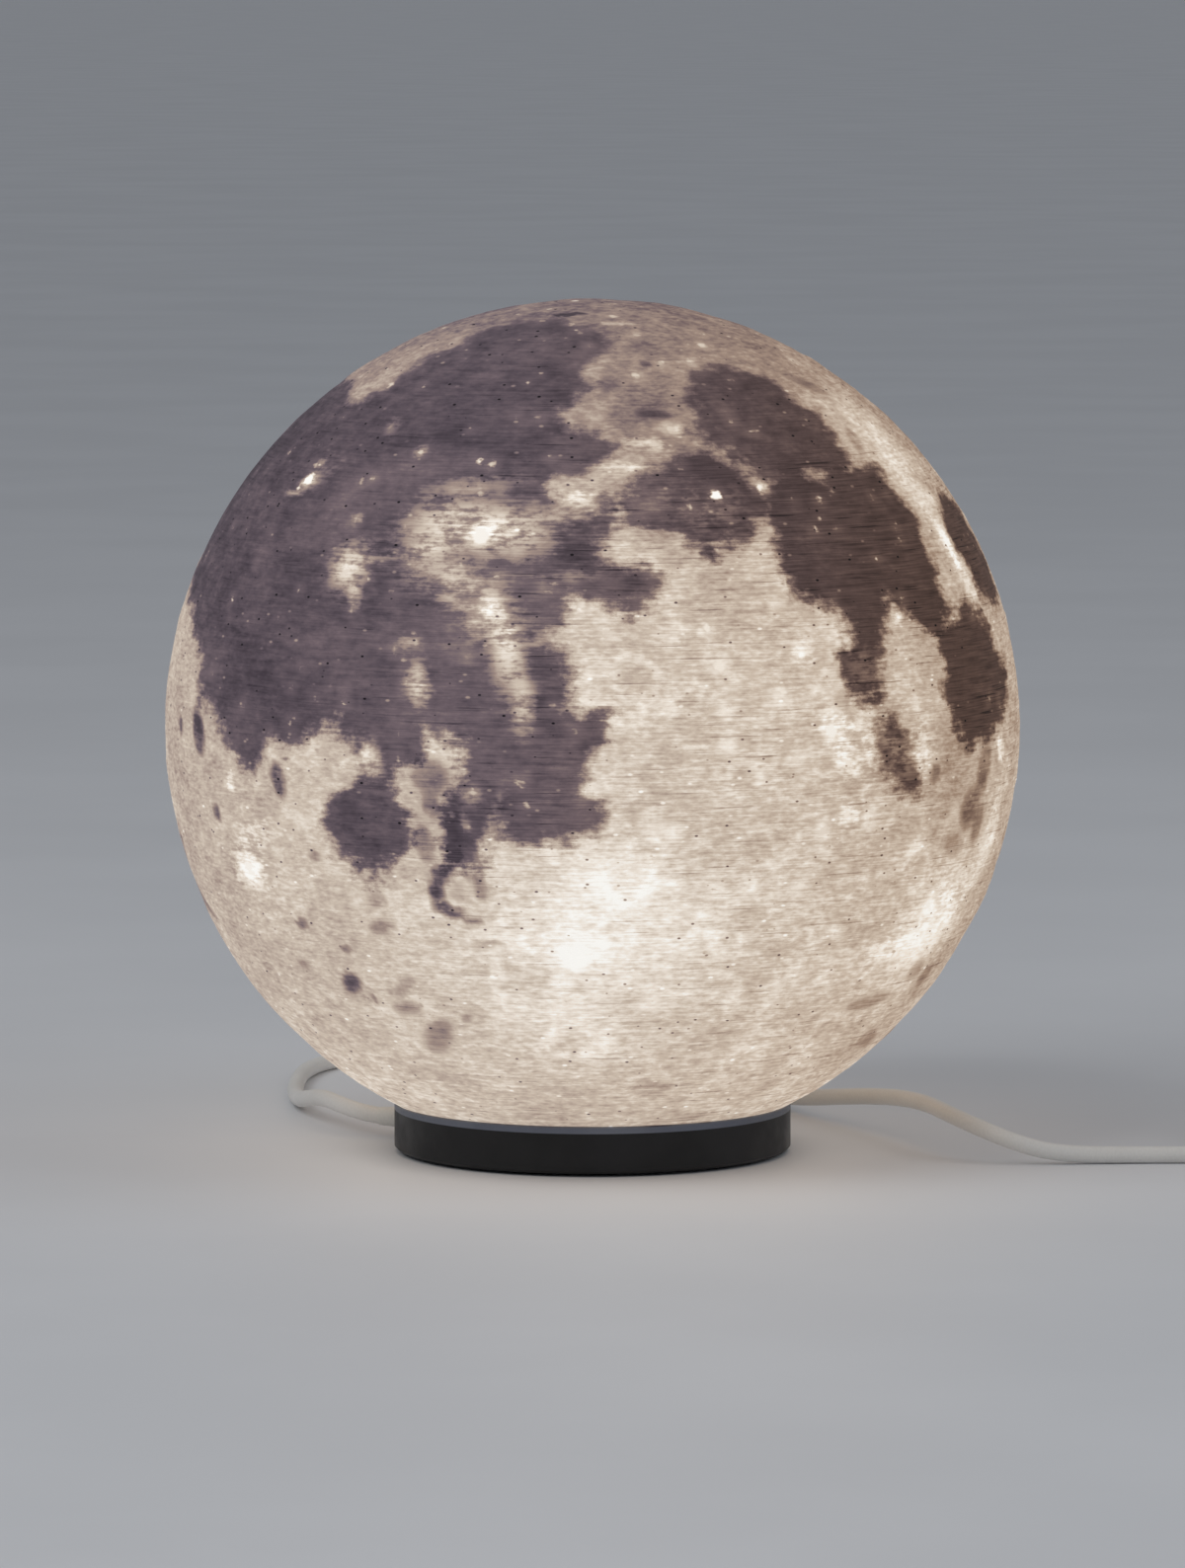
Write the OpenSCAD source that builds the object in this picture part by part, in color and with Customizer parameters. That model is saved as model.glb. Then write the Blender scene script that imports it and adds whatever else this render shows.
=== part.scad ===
// Moon lamp: a thin printed globe with the Moon's relief stands on a low round base. A small
// turret in the base lifts the light into the globe, and a thin lead with a plug feeds it.
// Millimetres, +Z up. The origin is where the base's axis meets the table, and -Y is the front.

/* [Globe] */
// Outer diameter of the globe
globe_d = 150; // [120:1:190]
// Thickness of the globe's wall
globe_wall = 2.2; // [1.6:0.1:3]
// Thickness of the flat lip at the globe's mouth
lip_t = 2; // [1.2:0.1:3]
// Height of the tube that stands on the lip, inside the globe
neck_h = 6; // [4:0.5:10]
// Thickness of that tube
neck_wall = 2; // [1.2:0.1:3]
// Thickness of the glued collar's wall
collar_wall = 2.6; // [2.2:0.1:4]
// Glue gap round the collar
glue_gap = 0.1; // [0.05:0.05:0.2]

/* [Base] */
// Outer diameter of the base
base_d = 70; // [62:1:84]
// Height of the base's black side above the table
base_h = 7.6; // [7.2:0.1:12]
// Thickness of the base's side wall
base_wall = 2.2; // [1.8:0.1:3]
// Thickness of the deck that closes the base at the top
deck_t = 1.6; // [1.2:0.1:2.4]
// How far the feet lift the base off the table
foot_lift = 0.6; // [0.4:0.1:1]
// Height of the touch ring
ring_h = 1.3; // [1:0.1:3]
// Width of the touch ring
ring_w = 4.5; // [3.5:0.1:5]
// Height of the deck's step that centres the touch ring
step_h = 0.8; // [0.5:0.1:1]
// Outer diameter of the rim that locates the globe
rim_d = 51.6; // [46:0.2:52]
// Height of that rim above the deck's step
rim_h = 5.4; // [4:0.1:8]
// Thickness of that rim
rim_wall = 1.8; // [1.4:0.1:2.6]
// Width of the key on the rim
key_w = 2.6; // [2:0.1:4]
// How far the key stands out of the rim
key_out = 1.2; // [0.8:0.1:1.4]
// Clearance between the rim or its key and the collar
slide_gap = 0.25; // [0.15:0.05:0.4]
// Clearance between pieces that are dropped in place
fit_gap = 0.1; // [0.05:0.05:0.2]

/* [Cover and feet] */
// Thickness of the bottom cover
cover_t = 1.2; // [1:0.1:1.6]
// Diameter of each rubber foot
foot_d = 10; // [7:0.5:11]
// Depth of the recess that a foot is glued in
foot_sink = 0.5; // [0.3:0.1:0.7]
// Distance of each foot from the axis
foot_r = 25; // [20:0.5:26]
// Distance of each cover screw from the axis
cover_screw_r = 28.4; // [27:0.1:28.6]

/* [Control board] */
// Diameter of the control board
board_d = 48; // [44:1:49]
// Thickness of the control board
board_t = 1; // [0.8:0.1:1.6]
// Clear height between the bottom cover and the board
board_lift = 1.4; // [1.2:0.1:2]
// Distance from the axis to the board's flat, where the lead comes in
board_flat = 20; // [18:0.5:21]
// Distance of each board screw from the axis
board_screw_r = 18.5; // [16:0.5:19]

/* [Light turret] */
// Clearance between the turret's flange and the rim round it
flange_gap = 0.3; // [0.1:0.1:2]
// Thickness of the turret's flange
flange_t = 2; // [1.6:0.1:3]
// Outer diameter of the turret
turret_d = 30; // [28:0.5:31]
// Thickness of the turret's wall
turret_wall = 1.6; // [1.2:0.1:2]
// Height of the turret above the deck's step
turret_h = 18; // [16:0.5:30]
// Thickness of the heat sink's plate
sink_t = 1.5; // [1.2:0.1:2.5]
// Length of the heat sink's fins
fin_h = 8; // [4:0.5:9]
// Thickness of the heat sink's fins
fin_t = 1.2; // [0.8:0.1:1.6]
// Distance between the fins' middles
fin_pitch = 4; // [3:0.1:4.4]
// Distance from the diode board's edge to the turret's outside
led_board_in = 1.5; // [1:0.1:2]
// Thickness of the board under the diodes
led_board_t = 1.4; // [1:0.1:2]
// Side of each diode
led_side = 5; // [3:0.1:5]
// Height of each diode
led_h = 1.4; // [0.8:0.1:2]
// Distance from that board's edge to the middles of the outer diodes
led_in = 5; // [4.5:0.1:5.3]
// Thickness of the diffuser cap's wall
cap_wall = 1.4; // [1:0.1:2]
// Height of the diffuser cap's straight skirt
cap_skirt = 6; // [4:0.5:9]

/* [Lead and plug] */
// Diameter of the lead
lead_d = 3; // [2.6:0.1:3.2]
// Height of the lead's middle where it leaves the base
lead_z = 3.8; // [3.6:0.1:4.2]
// Diameter of the grommet in the base's wall
grommet_d = 3.9; // [3.6:0.1:4]
// Length of the grommet outside the wall
grommet_out = 6; // [6:0.5:8]
// Radius of the coil's innermost turn, at the lead's middle
coil_in_r = 12; // [12:0.5:15]
// Step between turns of one layer
coil_step = 3.9; // [3.9:0.1:4.4]
// Step between the coil's two layers
coil_rise = 3.5; // [3.5:0.1:4]
// Thickness of the strap round the coil
strap_t = 0.5; // [0.4:0.1:0.6]
// Width of the strap round the coil
strap_w = 7; // [5:0.5:10]
// Width of the plug's grip
grip_w = 15.6; // [14:0.1:18]
// Thickness of the plug's grip
grip_t = 8; // [7.4:0.1:9]
// Length of the plug's grip
grip_l = 22; // [18:0.5:30]

/* [Hidden] */
$fn = 96;
small_fn = 48;
eps = 0.01;

// Heights, from the table up
cover_top = foot_lift + cover_t;
deck_z = base_h - deck_t;
step_z = base_h + step_h;
seat_z = base_h + ring_h;
board_z = cover_top + board_lift;
board_top = board_z + board_t;
rim_top = step_z + rim_h;
flange_top = step_z + flange_t;
turret_top = step_z + turret_h;
sink_top = turret_top + sink_t;
led_board_top = sink_top + led_board_t;

// The globe is cut flat where its surface is as wide as the base
globe_r = globe_d / 2;
base_r = base_d / 2;
globe_z = seat_z + sqrt(globe_r * globe_r - base_r * base_r);

// Radii from the base's axis outwards
inner_r = base_r - base_wall;
ring_in_r = base_r - ring_w;
rim_r = rim_d / 2;
collar_in_r = rim_r + slide_gap;
collar_r = collar_in_r + collar_wall;
neck_r = collar_r + glue_gap;
turret_r = turret_d / 2;
turret_in_r = turret_r - turret_wall;
cap_in_r = turret_r + fit_gap;
cap_r = cap_in_r + cap_wall;
flange_r = rim_r - rim_wall - flange_gap;
led_board_r = turret_r - led_board_in;
led_ring_r = led_board_r - led_in;
wire_hole_r = 4;

// Directions round the axis: the lead leaves at the rear left, and the rest keeps clear of it
lead_angle = 157;
foot_angles = [for (i = [0 : 3]) lead_angle + 90 * i];
cover_screw_angles = [for (i = [0 : 3]) lead_angle + 45 + 90 * i];
board_screw_angles = [for (i = [0 : 2]) lead_angle + 30 + 120 * i];
turret_screw_angles = [for (i = [0 : 2]) lead_angle + 60 + 120 * i];
led_screw_angles = [30, 210];
contact_angle = lead_angle + 180;
key_angle = 90;
tie_angle = 135;

// Screws: each has its thread's diameter, its head's diameter and its head's height
cover_screw = [2, 3.6, 0.9];
board_screw = [1.6, 2.8, 0.7];
turret_screw = [2, 3.8, 1.3];
led_screw = [2, 3.2, 1.1];
thread_gap = 0.05;
boss_wall = 1.4;
turret_screw_r = (turret_r + flange_r) / 2;
led_screw_r = led_board_r - 2.2;

// Small parts on the boards
chip_size = [5, 4, 1.2];
inductor_size = [5, 5, 1.4];
capacitor_size = [3.2, 1.6, 1];
contact_t = 0.3;
contact_w = 3;
wire_d = 1.1;
wire_gap = 0.2;
fin_places = [for (i = [-2 : 2]) i * fin_pitch];

// Globe end of the turret: the cap is seated on a ledge
ledge_t = 1.5;
cap_z = turret_top - 1.5;

// The lead's route, from the grommet to the coil, as points at the lead's middle
route = [
    [-40.6, 17.4, 4.2], [-43.4, 19.8, 4.7], [-45.8, 23.4, 5.1], [-48, 28.5, 5.2],
    [-50, 34.5, 4.6], [-51.8, 41.5, 3.5], [-53.2, 49.5, 2.3], [-54.2, 58, 1.7],
    [-54.8, 67, 1.5], [-54.9, 77, 1.5], [-54.6, 87, 1.5], [-53.4, 97, 1.5],
    [-50.5, 106.5, 1.5], [-45, 114.5, 1.5], [-36.5, 120, 1.5], [-26, 122.5, 1.5],
    [-14.5, 122, 1.5], [-3.5, 118.5, 1.5], [7, 112, 1.5], [16, 102.5, 1.5],
    [23, 91, 1.5], [28, 78.5, 1.5], [31.5, 66, 1.6], [35, 54.5, 2.2],
    [39.5, 43.5, 3.4], [45, 33.5, 4.9], [50.5, 23.5, 6.3], [55.5, 12.5, 7.4],
    [59.5, 1.5, 7.8], [63, -8, 7.3], [67.5, -14.5, 6], [73, -18.2, 4.2],
    [79, -18.8, 2.5], [86, -18, 1.7], [95, -17.2, 1.5], [105, -17, 1.5],
    [115, -17, 1.7], [125, -17, 2]
];
coil_start = [136, -17];
coil_turns = 6.25;
coil_half = coil_turns / 2;
coil_round = 0.25;
coil_z = strap_t + 0.1 + lead_d / 2;
coil_out_r = coil_in_r + coil_step * (sqrt(coil_half * coil_half + coil_round * coil_round) - coil_round);
coil_centre = [coil_start[0], coil_start[1] + coil_out_r];
tail_start = [coil_centre[0] + coil_out_r, coil_centre[1] + lead_d, coil_z + coil_rise];
tail_l = 22;
plug_z = grip_t / 2;
relief_l = 9;
relief_d = 6.4;
relief_end_d = lead_d + 1;
// The plug's steel shell has its standard size
shell_w = 12;
shell_t = 4.5;
shell_l = 12;
plug_x = tail_start[0];
plug_y = tail_start[1] + tail_l;

function unit(v) = v / norm(v);
function polar(r, a) = [r * cos(a), r * sin(a)];
function smooth(t) = t * t * (3 - 2 * t);

// Direction of a path at point i
function heading(p, i) = unit(p[min(i + 1, len(p) - 1)] - p[max(i - 1, 0)]);
// One ring of a tube, square to the path; across is a direction that the path never takes
function ring_points(at, dir, r, sides, across) =
    let (side = unit(cross(dir, across)), up = cross(side, dir))
    [for (k = [0 : sides - 1])
        let (a = 360 * (k + 0.5) / sides) at + r * (cos(a) * side + sin(a) * up)];

// A tube of the given diameter along a path, with flat ends square to the directions there
module tube(path, d, sides, first_dir, last_dir, across = [0, 0, 1]) {
    rings = len(path);
    dirs = [for (i = [0 : rings - 1])
        i == 0 ? first_dir : i == rings - 1 ? last_dir : heading(path, i)];
    points = [for (i = [0 : rings - 1]) each ring_points(path[i], dirs[i], d / 2, sides, across)];
    walls = [for (i = [0 : rings - 2], k = [0 : sides - 1])
        let (a = i * sides + k, b = i * sides + (k + 1) % sides)
        each [[a, b, b + sides], [a, b + sides, a + sides]]];
    start = [for (k = [1 : sides - 2]) [0, k + 1, k]];
    end = [for (k = [1 : sides - 2]) [0, k, k + 1] + (rings - 1) * sides * [1, 1, 1]];
    polyhedron(points = points, faces = concat(start, walls, end), convexity = 10);
}

// Places its children at each angle, at radius r and height z
module around(angles, r, z = 0) {
    for (a = angles) rotate([0, 0, a]) translate([r, 0, z]) children();
}

// A screw with its thread down along -Z from z = 0, and its flat head on top
module screw(size, thread_l) {
    translate([0, 0, -thread_l]) cylinder(d = size[0], h = thread_l + eps, $fn = small_fn);
    difference() {
        cylinder(d = size[1], h = size[2], $fn = small_fn);
        slot_w = size[1] / 5;
        for (a = [0, 90])
            rotate([0, 0, a])
                translate([-size[1] * 0.3, -slot_w / 2, size[2] * 0.55])
                    cube([size[1] * 0.6, slot_w, size[2]]);
    }
}

// A rectangle with round corners, centred
module round_rect(w, h, r) {
    square([w - 2 * r, h], center = true);
    square([w, h - 2 * r], center = true);
    for (x = [-1, 1], y = [-1, 1])
        translate([x * (w / 2 - r), y * (h / 2 - r)]) circle(r = r, $fn = small_fn);
}

// ---- Globe ----

module globe_ball(r) {
    translate([0, 0, globe_z]) sphere(r = r, $fn = 180);
}

module moon_globe() {
    color("wheat")
        difference() {
            union() {
                difference() {
                    globe_ball(globe_r);
                    globe_ball(globe_r - globe_wall);
                }
                intersection() {
                    globe_ball(globe_r - globe_wall / 2);
                    translate([0, 0, seat_z]) cylinder(r = base_r, h = lip_t);
                }
                translate([0, 0, seat_z]) cylinder(r = neck_r + neck_wall, h = neck_h);
            }
            translate([0, 0, seat_z - globe_d]) cylinder(r = globe_r, h = globe_d);
            translate([0, 0, seat_z - eps]) cylinder(r = neck_r, h = neck_h + 2 * eps);
        }
}

module globe_collar() {
    color("whitesmoke")
        difference() {
            translate([0, 0, seat_z]) cylinder(r = collar_r, h = neck_h);
            translate([0, 0, seat_z - eps]) cylinder(r = collar_in_r, h = neck_h + 2 * eps);
            translate([0, 0, seat_z - eps])
                cylinder(r1 = collar_in_r + 0.6, r2 = collar_in_r, h = 0.6);
            rotate([0, 0, key_angle])
                translate([rim_r - 1, -key_w / 2 - slide_gap, seat_z - eps])
                    cube([1 + key_out + slide_gap, key_w + 2 * slide_gap, neck_h + 2 * eps]);
        }
}

// ---- Base ----

module touch_ring() {
    chamfer = 0.25;
    color("slategray")
        rotate_extrude()
            translate([ring_in_r, base_h])
                polygon([[0, 0], [ring_w, 0], [ring_w, ring_h - chamfer],
                         [ring_w - chamfer, ring_h], [0, ring_h]]);
}

// The hollow shell: side wall, deck, centring step and locating rim
module housing_shell() {
    edge = 0.5;
    rotate_extrude()
        polygon([[inner_r, foot_lift], [base_r - edge, foot_lift], [base_r, foot_lift + edge],
                 [base_r, base_h], [ring_in_r - fit_gap, base_h],
                 [ring_in_r - fit_gap, step_z], [rim_r, step_z], [rim_r, rim_top - edge],
                 [rim_r - edge, rim_top], [rim_r - rim_wall, rim_top],
                 [rim_r - rim_wall, step_z], [wire_hole_r, step_z], [wire_hole_r, deck_z],
                 [inner_r, deck_z]]);
    rotate([0, 0, key_angle])
        translate([rim_r - rim_wall / 2, -key_w / 2, step_z - eps])
            cube([rim_wall / 2 + key_out, key_w, rim_h]);
    around(cover_screw_angles, cover_screw_r, cover_top)
        cylinder(r = cover_screw[0] / 2 + boss_wall, h = deck_z - cover_top + eps, $fn = small_fn);
    around(board_screw_angles, board_screw_r, board_top)
        cylinder(r = board_screw[0] / 2 + boss_wall, h = deck_z - board_top + eps, $fn = small_fn);
}

module base_housing() {
    color("#0c0d10")
        difference() {
            housing_shell();
            around(cover_screw_angles, cover_screw_r, cover_top - eps)
                cylinder(d = cover_screw[0] + 2 * thread_gap, h = deck_z - cover_top + 0.6, $fn = small_fn);
            around(board_screw_angles, board_screw_r, board_top - eps)
                cylinder(d = board_screw[0] + 2 * thread_gap, h = deck_z - board_top + 0.8, $fn = small_fn);
            around(turret_screw_angles, turret_screw_r, deck_z - eps)
                cylinder(d = turret_screw[0] + 2 * thread_gap, h = step_z - deck_z + 1, $fn = small_fn);
            rotate([0, 0, lead_angle])
                translate([inner_r - 3, 0, lead_z])
                    rotate([0, 90, 0])
                        cylinder(d = grommet_d + fit_gap, h = base_wall + 6, $fn = small_fn);
            rotate([0, 0, contact_angle])
                translate([ring_in_r + 0.4, -contact_w / 2 - 0.4, deck_z - eps])
                    cube([1.6, contact_w + 0.8, deck_t + 1]);
        }
}

module bottom_cover() {
    head_sink = cover_screw[2] + 0.05;
    color("#15161a")
        difference() {
            translate([0, 0, foot_lift]) cylinder(r = inner_r - fit_gap, h = cover_t);
            around(cover_screw_angles, cover_screw_r, foot_lift - eps) {
                cylinder(d = cover_screw[1] + 0.2, h = head_sink, $fn = small_fn);
                cylinder(d = cover_screw[0] + 2 * thread_gap, h = cover_t + 1, $fn = small_fn);
            }
            around(foot_angles, foot_r, foot_lift - eps)
                cylinder(d = foot_d + 0.1, h = foot_sink, $fn = small_fn);
        }
}

module rubber_feet() {
    color("#2a2a2c")
        around(foot_angles, foot_r)
            cylinder(d = foot_d, h = foot_lift + foot_sink - eps, $fn = small_fn);
}

module cover_screws() {
    color("silver")
        around(cover_screw_angles, cover_screw_r, foot_lift + cover_screw[2])
            rotate([180, 0, 0]) screw(cover_screw, cover_t - cover_screw[2] + 3.6);
}

// ---- Control board ----

module main_board() {
    color("darkgreen")
        difference() {
            translate([0, 0, board_z]) cylinder(d = board_d, h = board_t);
            rotate([0, 0, lead_angle])
                translate([board_flat, -board_d, board_z - 1]) cube([board_d, 2 * board_d, board_t + 2]);
            around(board_screw_angles, board_screw_r, board_z - 1)
                cylinder(d = board_screw[0] + 2 * thread_gap, h = board_t + 2, $fn = small_fn);
        }
}

module board_screws() {
    color("silver")
        around(board_screw_angles, board_screw_r, board_z)
            rotate([180, 0, 0]) screw(board_screw, board_t + 1.8);
}

module touch_chip() {
    color("#202022") {
        translate([-14, 8, board_top]) cube(chip_size);
        for (i = [0 : 3], side = [-1, 1])
            translate([-14 + 0.5 + i * 1.2, 8 + (side < 0 ? -0.8 : chip_size[1] - eps), board_top])
                cube([0.4, 0.8 + eps, 0.3]);
    }
}

module board_inductor() {
    color("#3a3a3d")
        translate([9, -3, board_top]) {
            linear_extrude(inductor_size[2] - 0.2)
                translate([inductor_size[0] / 2, inductor_size[1] / 2])
                    round_rect(inductor_size[0], inductor_size[1], 1);
            translate([inductor_size[0] / 2, inductor_size[1] / 2, 0])
                cylinder(d = inductor_size[0] - 1.2, h = inductor_size[2], $fn = small_fn);
        }
}

module board_capacitors() {
    color("tan")
        for (i = [0 : 2])
            translate([-4 + i * 5, 11, board_top]) cube(capacitor_size);
}

// A bent spring strip: soldered to the board, it rises through the deck to the ring
module touch_contact() {
    foot_x = board_d / 2 - 2.5;
    rise_x = ring_in_r + 0.9;
    color("goldenrod")
        rotate([0, 0, contact_angle])
            translate([0, contact_w / 2, 0])
                rotate([90, 0, 0])
                    linear_extrude(contact_w)
                        polygon([[foot_x, board_top], [rise_x + contact_t, board_top],
                                 [rise_x + contact_t, base_h], [rise_x, base_h],
                                 [rise_x, board_top + contact_t], [foot_x, board_top + contact_t]]);
}

// ---- Light turret ----

module led_turret() {
    color("white")
        difference() {
            union() {
                translate([0, 0, step_z]) cylinder(r = flange_r, h = flange_t);
                translate([0, 0, step_z]) cylinder(r = turret_r, h = turret_h);
                translate([0, 0, cap_z - ledge_t]) cylinder(r = cap_r, h = ledge_t);
                translate([0, 0, cap_z - ledge_t - (cap_r - turret_r)])
                    cylinder(r1 = turret_r, r2 = cap_r, h = cap_r - turret_r + eps);
            }
            translate([0, 0, step_z + flange_t]) cylinder(r = turret_in_r, h = turret_h);
            translate([0, 0, step_z - 1]) cylinder(r = wire_hole_r, h = flange_t + 2);
            around(turret_screw_angles, turret_screw_r, step_z - 1)
                cylinder(d = turret_screw[0] + 2 * thread_gap, h = flange_t + 2, $fn = small_fn);
        }
}

module turret_screws() {
    color("silver")
        around(turret_screw_angles, turret_screw_r, flange_top)
            screw(turret_screw, flange_t + step_z - deck_z - 0.1);
}

// A notch at the front lets the supply wires past the plate and the diode board
module wire_notch(z) {
    notch_w = 2 * wire_d + wire_gap + 1.2;
    notch_l = 2 * wire_d + 0.6 + turret_wall + 1;
    translate([-notch_w / 2, -turret_r - 1, z - 1])
        cube([notch_w, notch_l, 8]);
}

module heat_sink() {
    fin_r = turret_in_r - 1.4;
    color("lightgray")
        difference() {
            union() {
                translate([0, 0, turret_top]) cylinder(r = turret_r, h = sink_t);
                intersection() {
                    translate([0, 0, turret_top - fin_h]) cylinder(r = fin_r, h = fin_h + 1);
                    for (y = fin_places)
                        translate([-turret_r, y - fin_t / 2, turret_top - fin_h])
                            cube([turret_d, fin_t, fin_h + 0.5]);
                }
            }
            wire_notch(turret_top);
            around(led_screw_angles, led_screw_r, turret_top - 1)
                cylinder(d = led_screw[0] + 2 * thread_gap, h = sink_t + 2, $fn = small_fn);
        }
}

module led_board() {
    color("whitesmoke")
        difference() {
            translate([0, 0, sink_top]) cylinder(r = led_board_r, h = led_board_t);
            wire_notch(sink_top);
            around(led_screw_angles, led_screw_r, sink_top - 1)
                cylinder(d = led_screw[0] + 2 * thread_gap, h = led_board_t + 2, $fn = small_fn);
        }
}

module one_led() {
    difference() {
        translate([-led_side / 2, -led_side / 2, 0]) cube([led_side, led_side, led_h]);
        translate([0, 0, led_h - 0.3])
            cylinder(d = led_side * 0.8, h = 1, $fn = small_fn);
    }
}

module leds() {
    color("lightyellow")
        translate([0, 0, led_board_top]) {
            one_led();
            for (i = [0 : 5]) rotate([0, 0, 60 * i]) translate([led_ring_r, 0, 0]) rotate([0, 0, -60 * i]) one_led();
        }
}

module led_board_screws() {
    color("silver")
        around(led_screw_angles, led_screw_r, led_board_top)
            screw(led_screw, led_board_t + sink_t);
}

module diffuser_cap() {
    dome_z = cap_z + cap_skirt;
    color("ivory", 0.8)
        difference() {
            union() {
                translate([0, 0, cap_z]) cylinder(r = cap_r, h = cap_skirt);
                intersection() {
                    translate([0, 0, dome_z]) sphere(r = cap_r);
                    translate([0, 0, dome_z]) cylinder(r = cap_r, h = cap_r + 1);
                }
            }
            translate([0, 0, cap_z - eps]) cylinder(r = cap_in_r, h = cap_skirt + 2 * eps);
            translate([0, 0, dome_z]) sphere(r = cap_in_r);
        }
}

// Two wires from the board, up inside the turret, through the notch and onto the diodes' board
module supply_wires() {
    start_y = -2.2;
    wire_y = -turret_in_r + wire_d / 2 + 0.5;
    low_z = flange_top + 1;
    high_z = turret_top - fin_h;
    lie_z = led_board_top + wire_d / 2;
    bend_r = 1.2;
    climb = [for (i = [0 : 6])
        [start_y + (wire_y - start_y) * smooth(i / 6), low_z + (high_z - low_z) * i / 6]];
    bend = [for (a = [0 : 30 : 90])
        [wire_y + bend_r * (1 - cos(a)), lie_z - bend_r + bend_r * sin(a)]];
    path = concat([[start_y, board_top]], climb, bend, [[wire_y + bend_r + 0.8, lie_z]]);
    for (side = [-1, 1])
        color(side < 0 ? "red" : "black")
            tube([for (p = path) [side * (wire_d + wire_gap) / 2, p[0], p[1]]],
                 wire_d, 6, [0, 0, 1], [0, 1, 0], [1, 0, 0]);
}

// ---- Lead ----

// Bonded to the lead: a flat head inside the wall, a neck through it and a tapered tip outside
module lead_grommet() {
    head = [1.6, 6.4, deck_z - cover_top - 0.4];
    wall_x = base_r;
    color("white")
        rotate([0, 0, lead_angle])
            translate([0, 0, lead_z]) {
                translate([inner_r - head[0] - 0.5, -head[1] / 2, cover_top + 0.2 - lead_z]) cube(head);
                translate([inner_r - 0.6, 0, 0])
                    rotate([0, 90, 0])
                        cylinder(d = grommet_d - fit_gap, h = base_wall + 0.8, $fn = small_fn);
                translate([wall_x, 0, 0])
                    rotate([0, 90, 0])
                        cylinder(d1 = grommet_d - fit_gap, d2 = lead_d + 0.3, h = grommet_out, $fn = small_fn);
            }
}

module lead_cores() {
    start_x = inner_r - 2.1;
    low_x = start_x - 1.5;
    lie_x = board_flat + 1.2;
    lie_z = board_top + wire_d / 2;
    climb = [for (i = [0 : 5])
        [low_x + (lie_x - low_x) * i / 5, lead_z + (lie_z - lead_z) * smooth(i / 5)]];
    path = concat([[start_x, lead_z]], climb, [[board_flat - 3, lie_z]]);
    rotate([0, 0, lead_angle])
        for (side = [-1, 1])
            color(side < 0 ? "red" : "black")
                tube([for (p = path) [p[0], side * (wire_d + wire_gap) / 2, p[1]]],
                     wire_d, 6, [-1, 0, 0], [-1, 0, 0], [0, 1, 0]);
}

lead_exit = concat(polar(base_r + grommet_out, lead_angle), [lead_z]);
exit_dir = concat(polar(1, lead_angle), [0]);
coil_entry = [coil_start[0] - lead_d, coil_start[1], coil_z];
run_path = concat([lead_exit], route, [coil_entry]);

module lead_run() {
    color("white") tube(run_path, lead_d, 8, exit_dir, [1, 0, 0]);
}

// Middle of the lead in the coil after t turns: it spirals in, climbs a layer and spirals out
function coil_r(t) = coil_in_r
    + coil_step * (sqrt(pow(t - coil_half, 2) + coil_round * coil_round) - coil_round);
function coil_climb(t) = smooth(min(1, max(0, (t - coil_half + 0.25) / 0.5)));
function coil_point(t) =
    let (at = polar(coil_r(t), 360 * t - 90))
    [coil_centre[0] + at[0], coil_centre[1] + at[1], coil_z + coil_rise * coil_climb(t)];
coil_rings = 24 * coil_turns;
coil_path = concat([coil_entry], [for (i = [0 : coil_rings]) coil_point(i / 24)], [tail_start]);
coil_gap = min([for (i = [0 : len(coil_path) - 1], j = [i + 12 : 1 : len(coil_path) - 1])
    norm(coil_path[i] - coil_path[j])]) - lead_d;
echo(least_gap_between_the_coils_turns = coil_gap);

module lead_coil() {
    color("white") tube(coil_path, lead_d, 6, [1, 0, 0], [0, 1, 0]);
}

// A flat strap round the bundle of turns
module coil_tie() {
    room = 0.1;
    outer_turn = (tie_angle + 90) / 360;
    inner_turn = outer_turn + floor(coil_half - outer_turn);
    in_r = sqrt(pow(coil_r(inner_turn) - lead_d / 2, 2) - pow(strap_w / 2, 2)) - room;
    out_r = coil_r(outer_turn) + lead_d / 2 + room;
    bundle_w = out_r - in_r;
    bundle_h = coil_rise + lead_d + 2 * room;
    middle = [(in_r + out_r) / 2, strap_t + bundle_h / 2];
    color("#303236")
        translate(coil_centre)
            rotate([0, 0, tie_angle])
                translate([0, strap_w / 2, 0])
                    rotate([90, 0, 0])
                        linear_extrude(strap_w)
                            translate(middle)
                                difference() {
                                    round_rect(bundle_w + 2 * strap_t, bundle_h + 2 * strap_t, 0.4 + strap_t);
                                    round_rect(bundle_w, bundle_h, 0.4);
                                }
}

module lead_tail() {
    drop = tail_start[2] - plug_z;
    steps = 6;
    path = [for (i = [0 : steps])
        [tail_start[0], tail_start[1] + tail_l * i / steps, tail_start[2] - drop * smooth(i / steps)]];
    color("white") tube(path, lead_d, 8, [0, 1, 0], [0, 1, 0]);
}

// ---- Plug: lies beside the coil and points away from the viewer ----

module plug_body() {
    color("white")
        translate([plug_x, plug_y, plug_z]) {
            rotate([-90, 0, 0]) {
                cylinder(d1 = relief_end_d, d2 = relief_d, h = relief_l, $fn = small_fn);
                for (i = [1 : 3])
                    translate([0, 0, relief_l * i / 4])
                        cylinder(d = relief_d, h = relief_l / 8, $fn = small_fn);
            }
            translate([0, relief_l + grip_l, 0])
                rotate([90, 0, 0])
                    linear_extrude(grip_l) round_rect(grip_w, grip_t, 2.4);
        }
}

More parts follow.
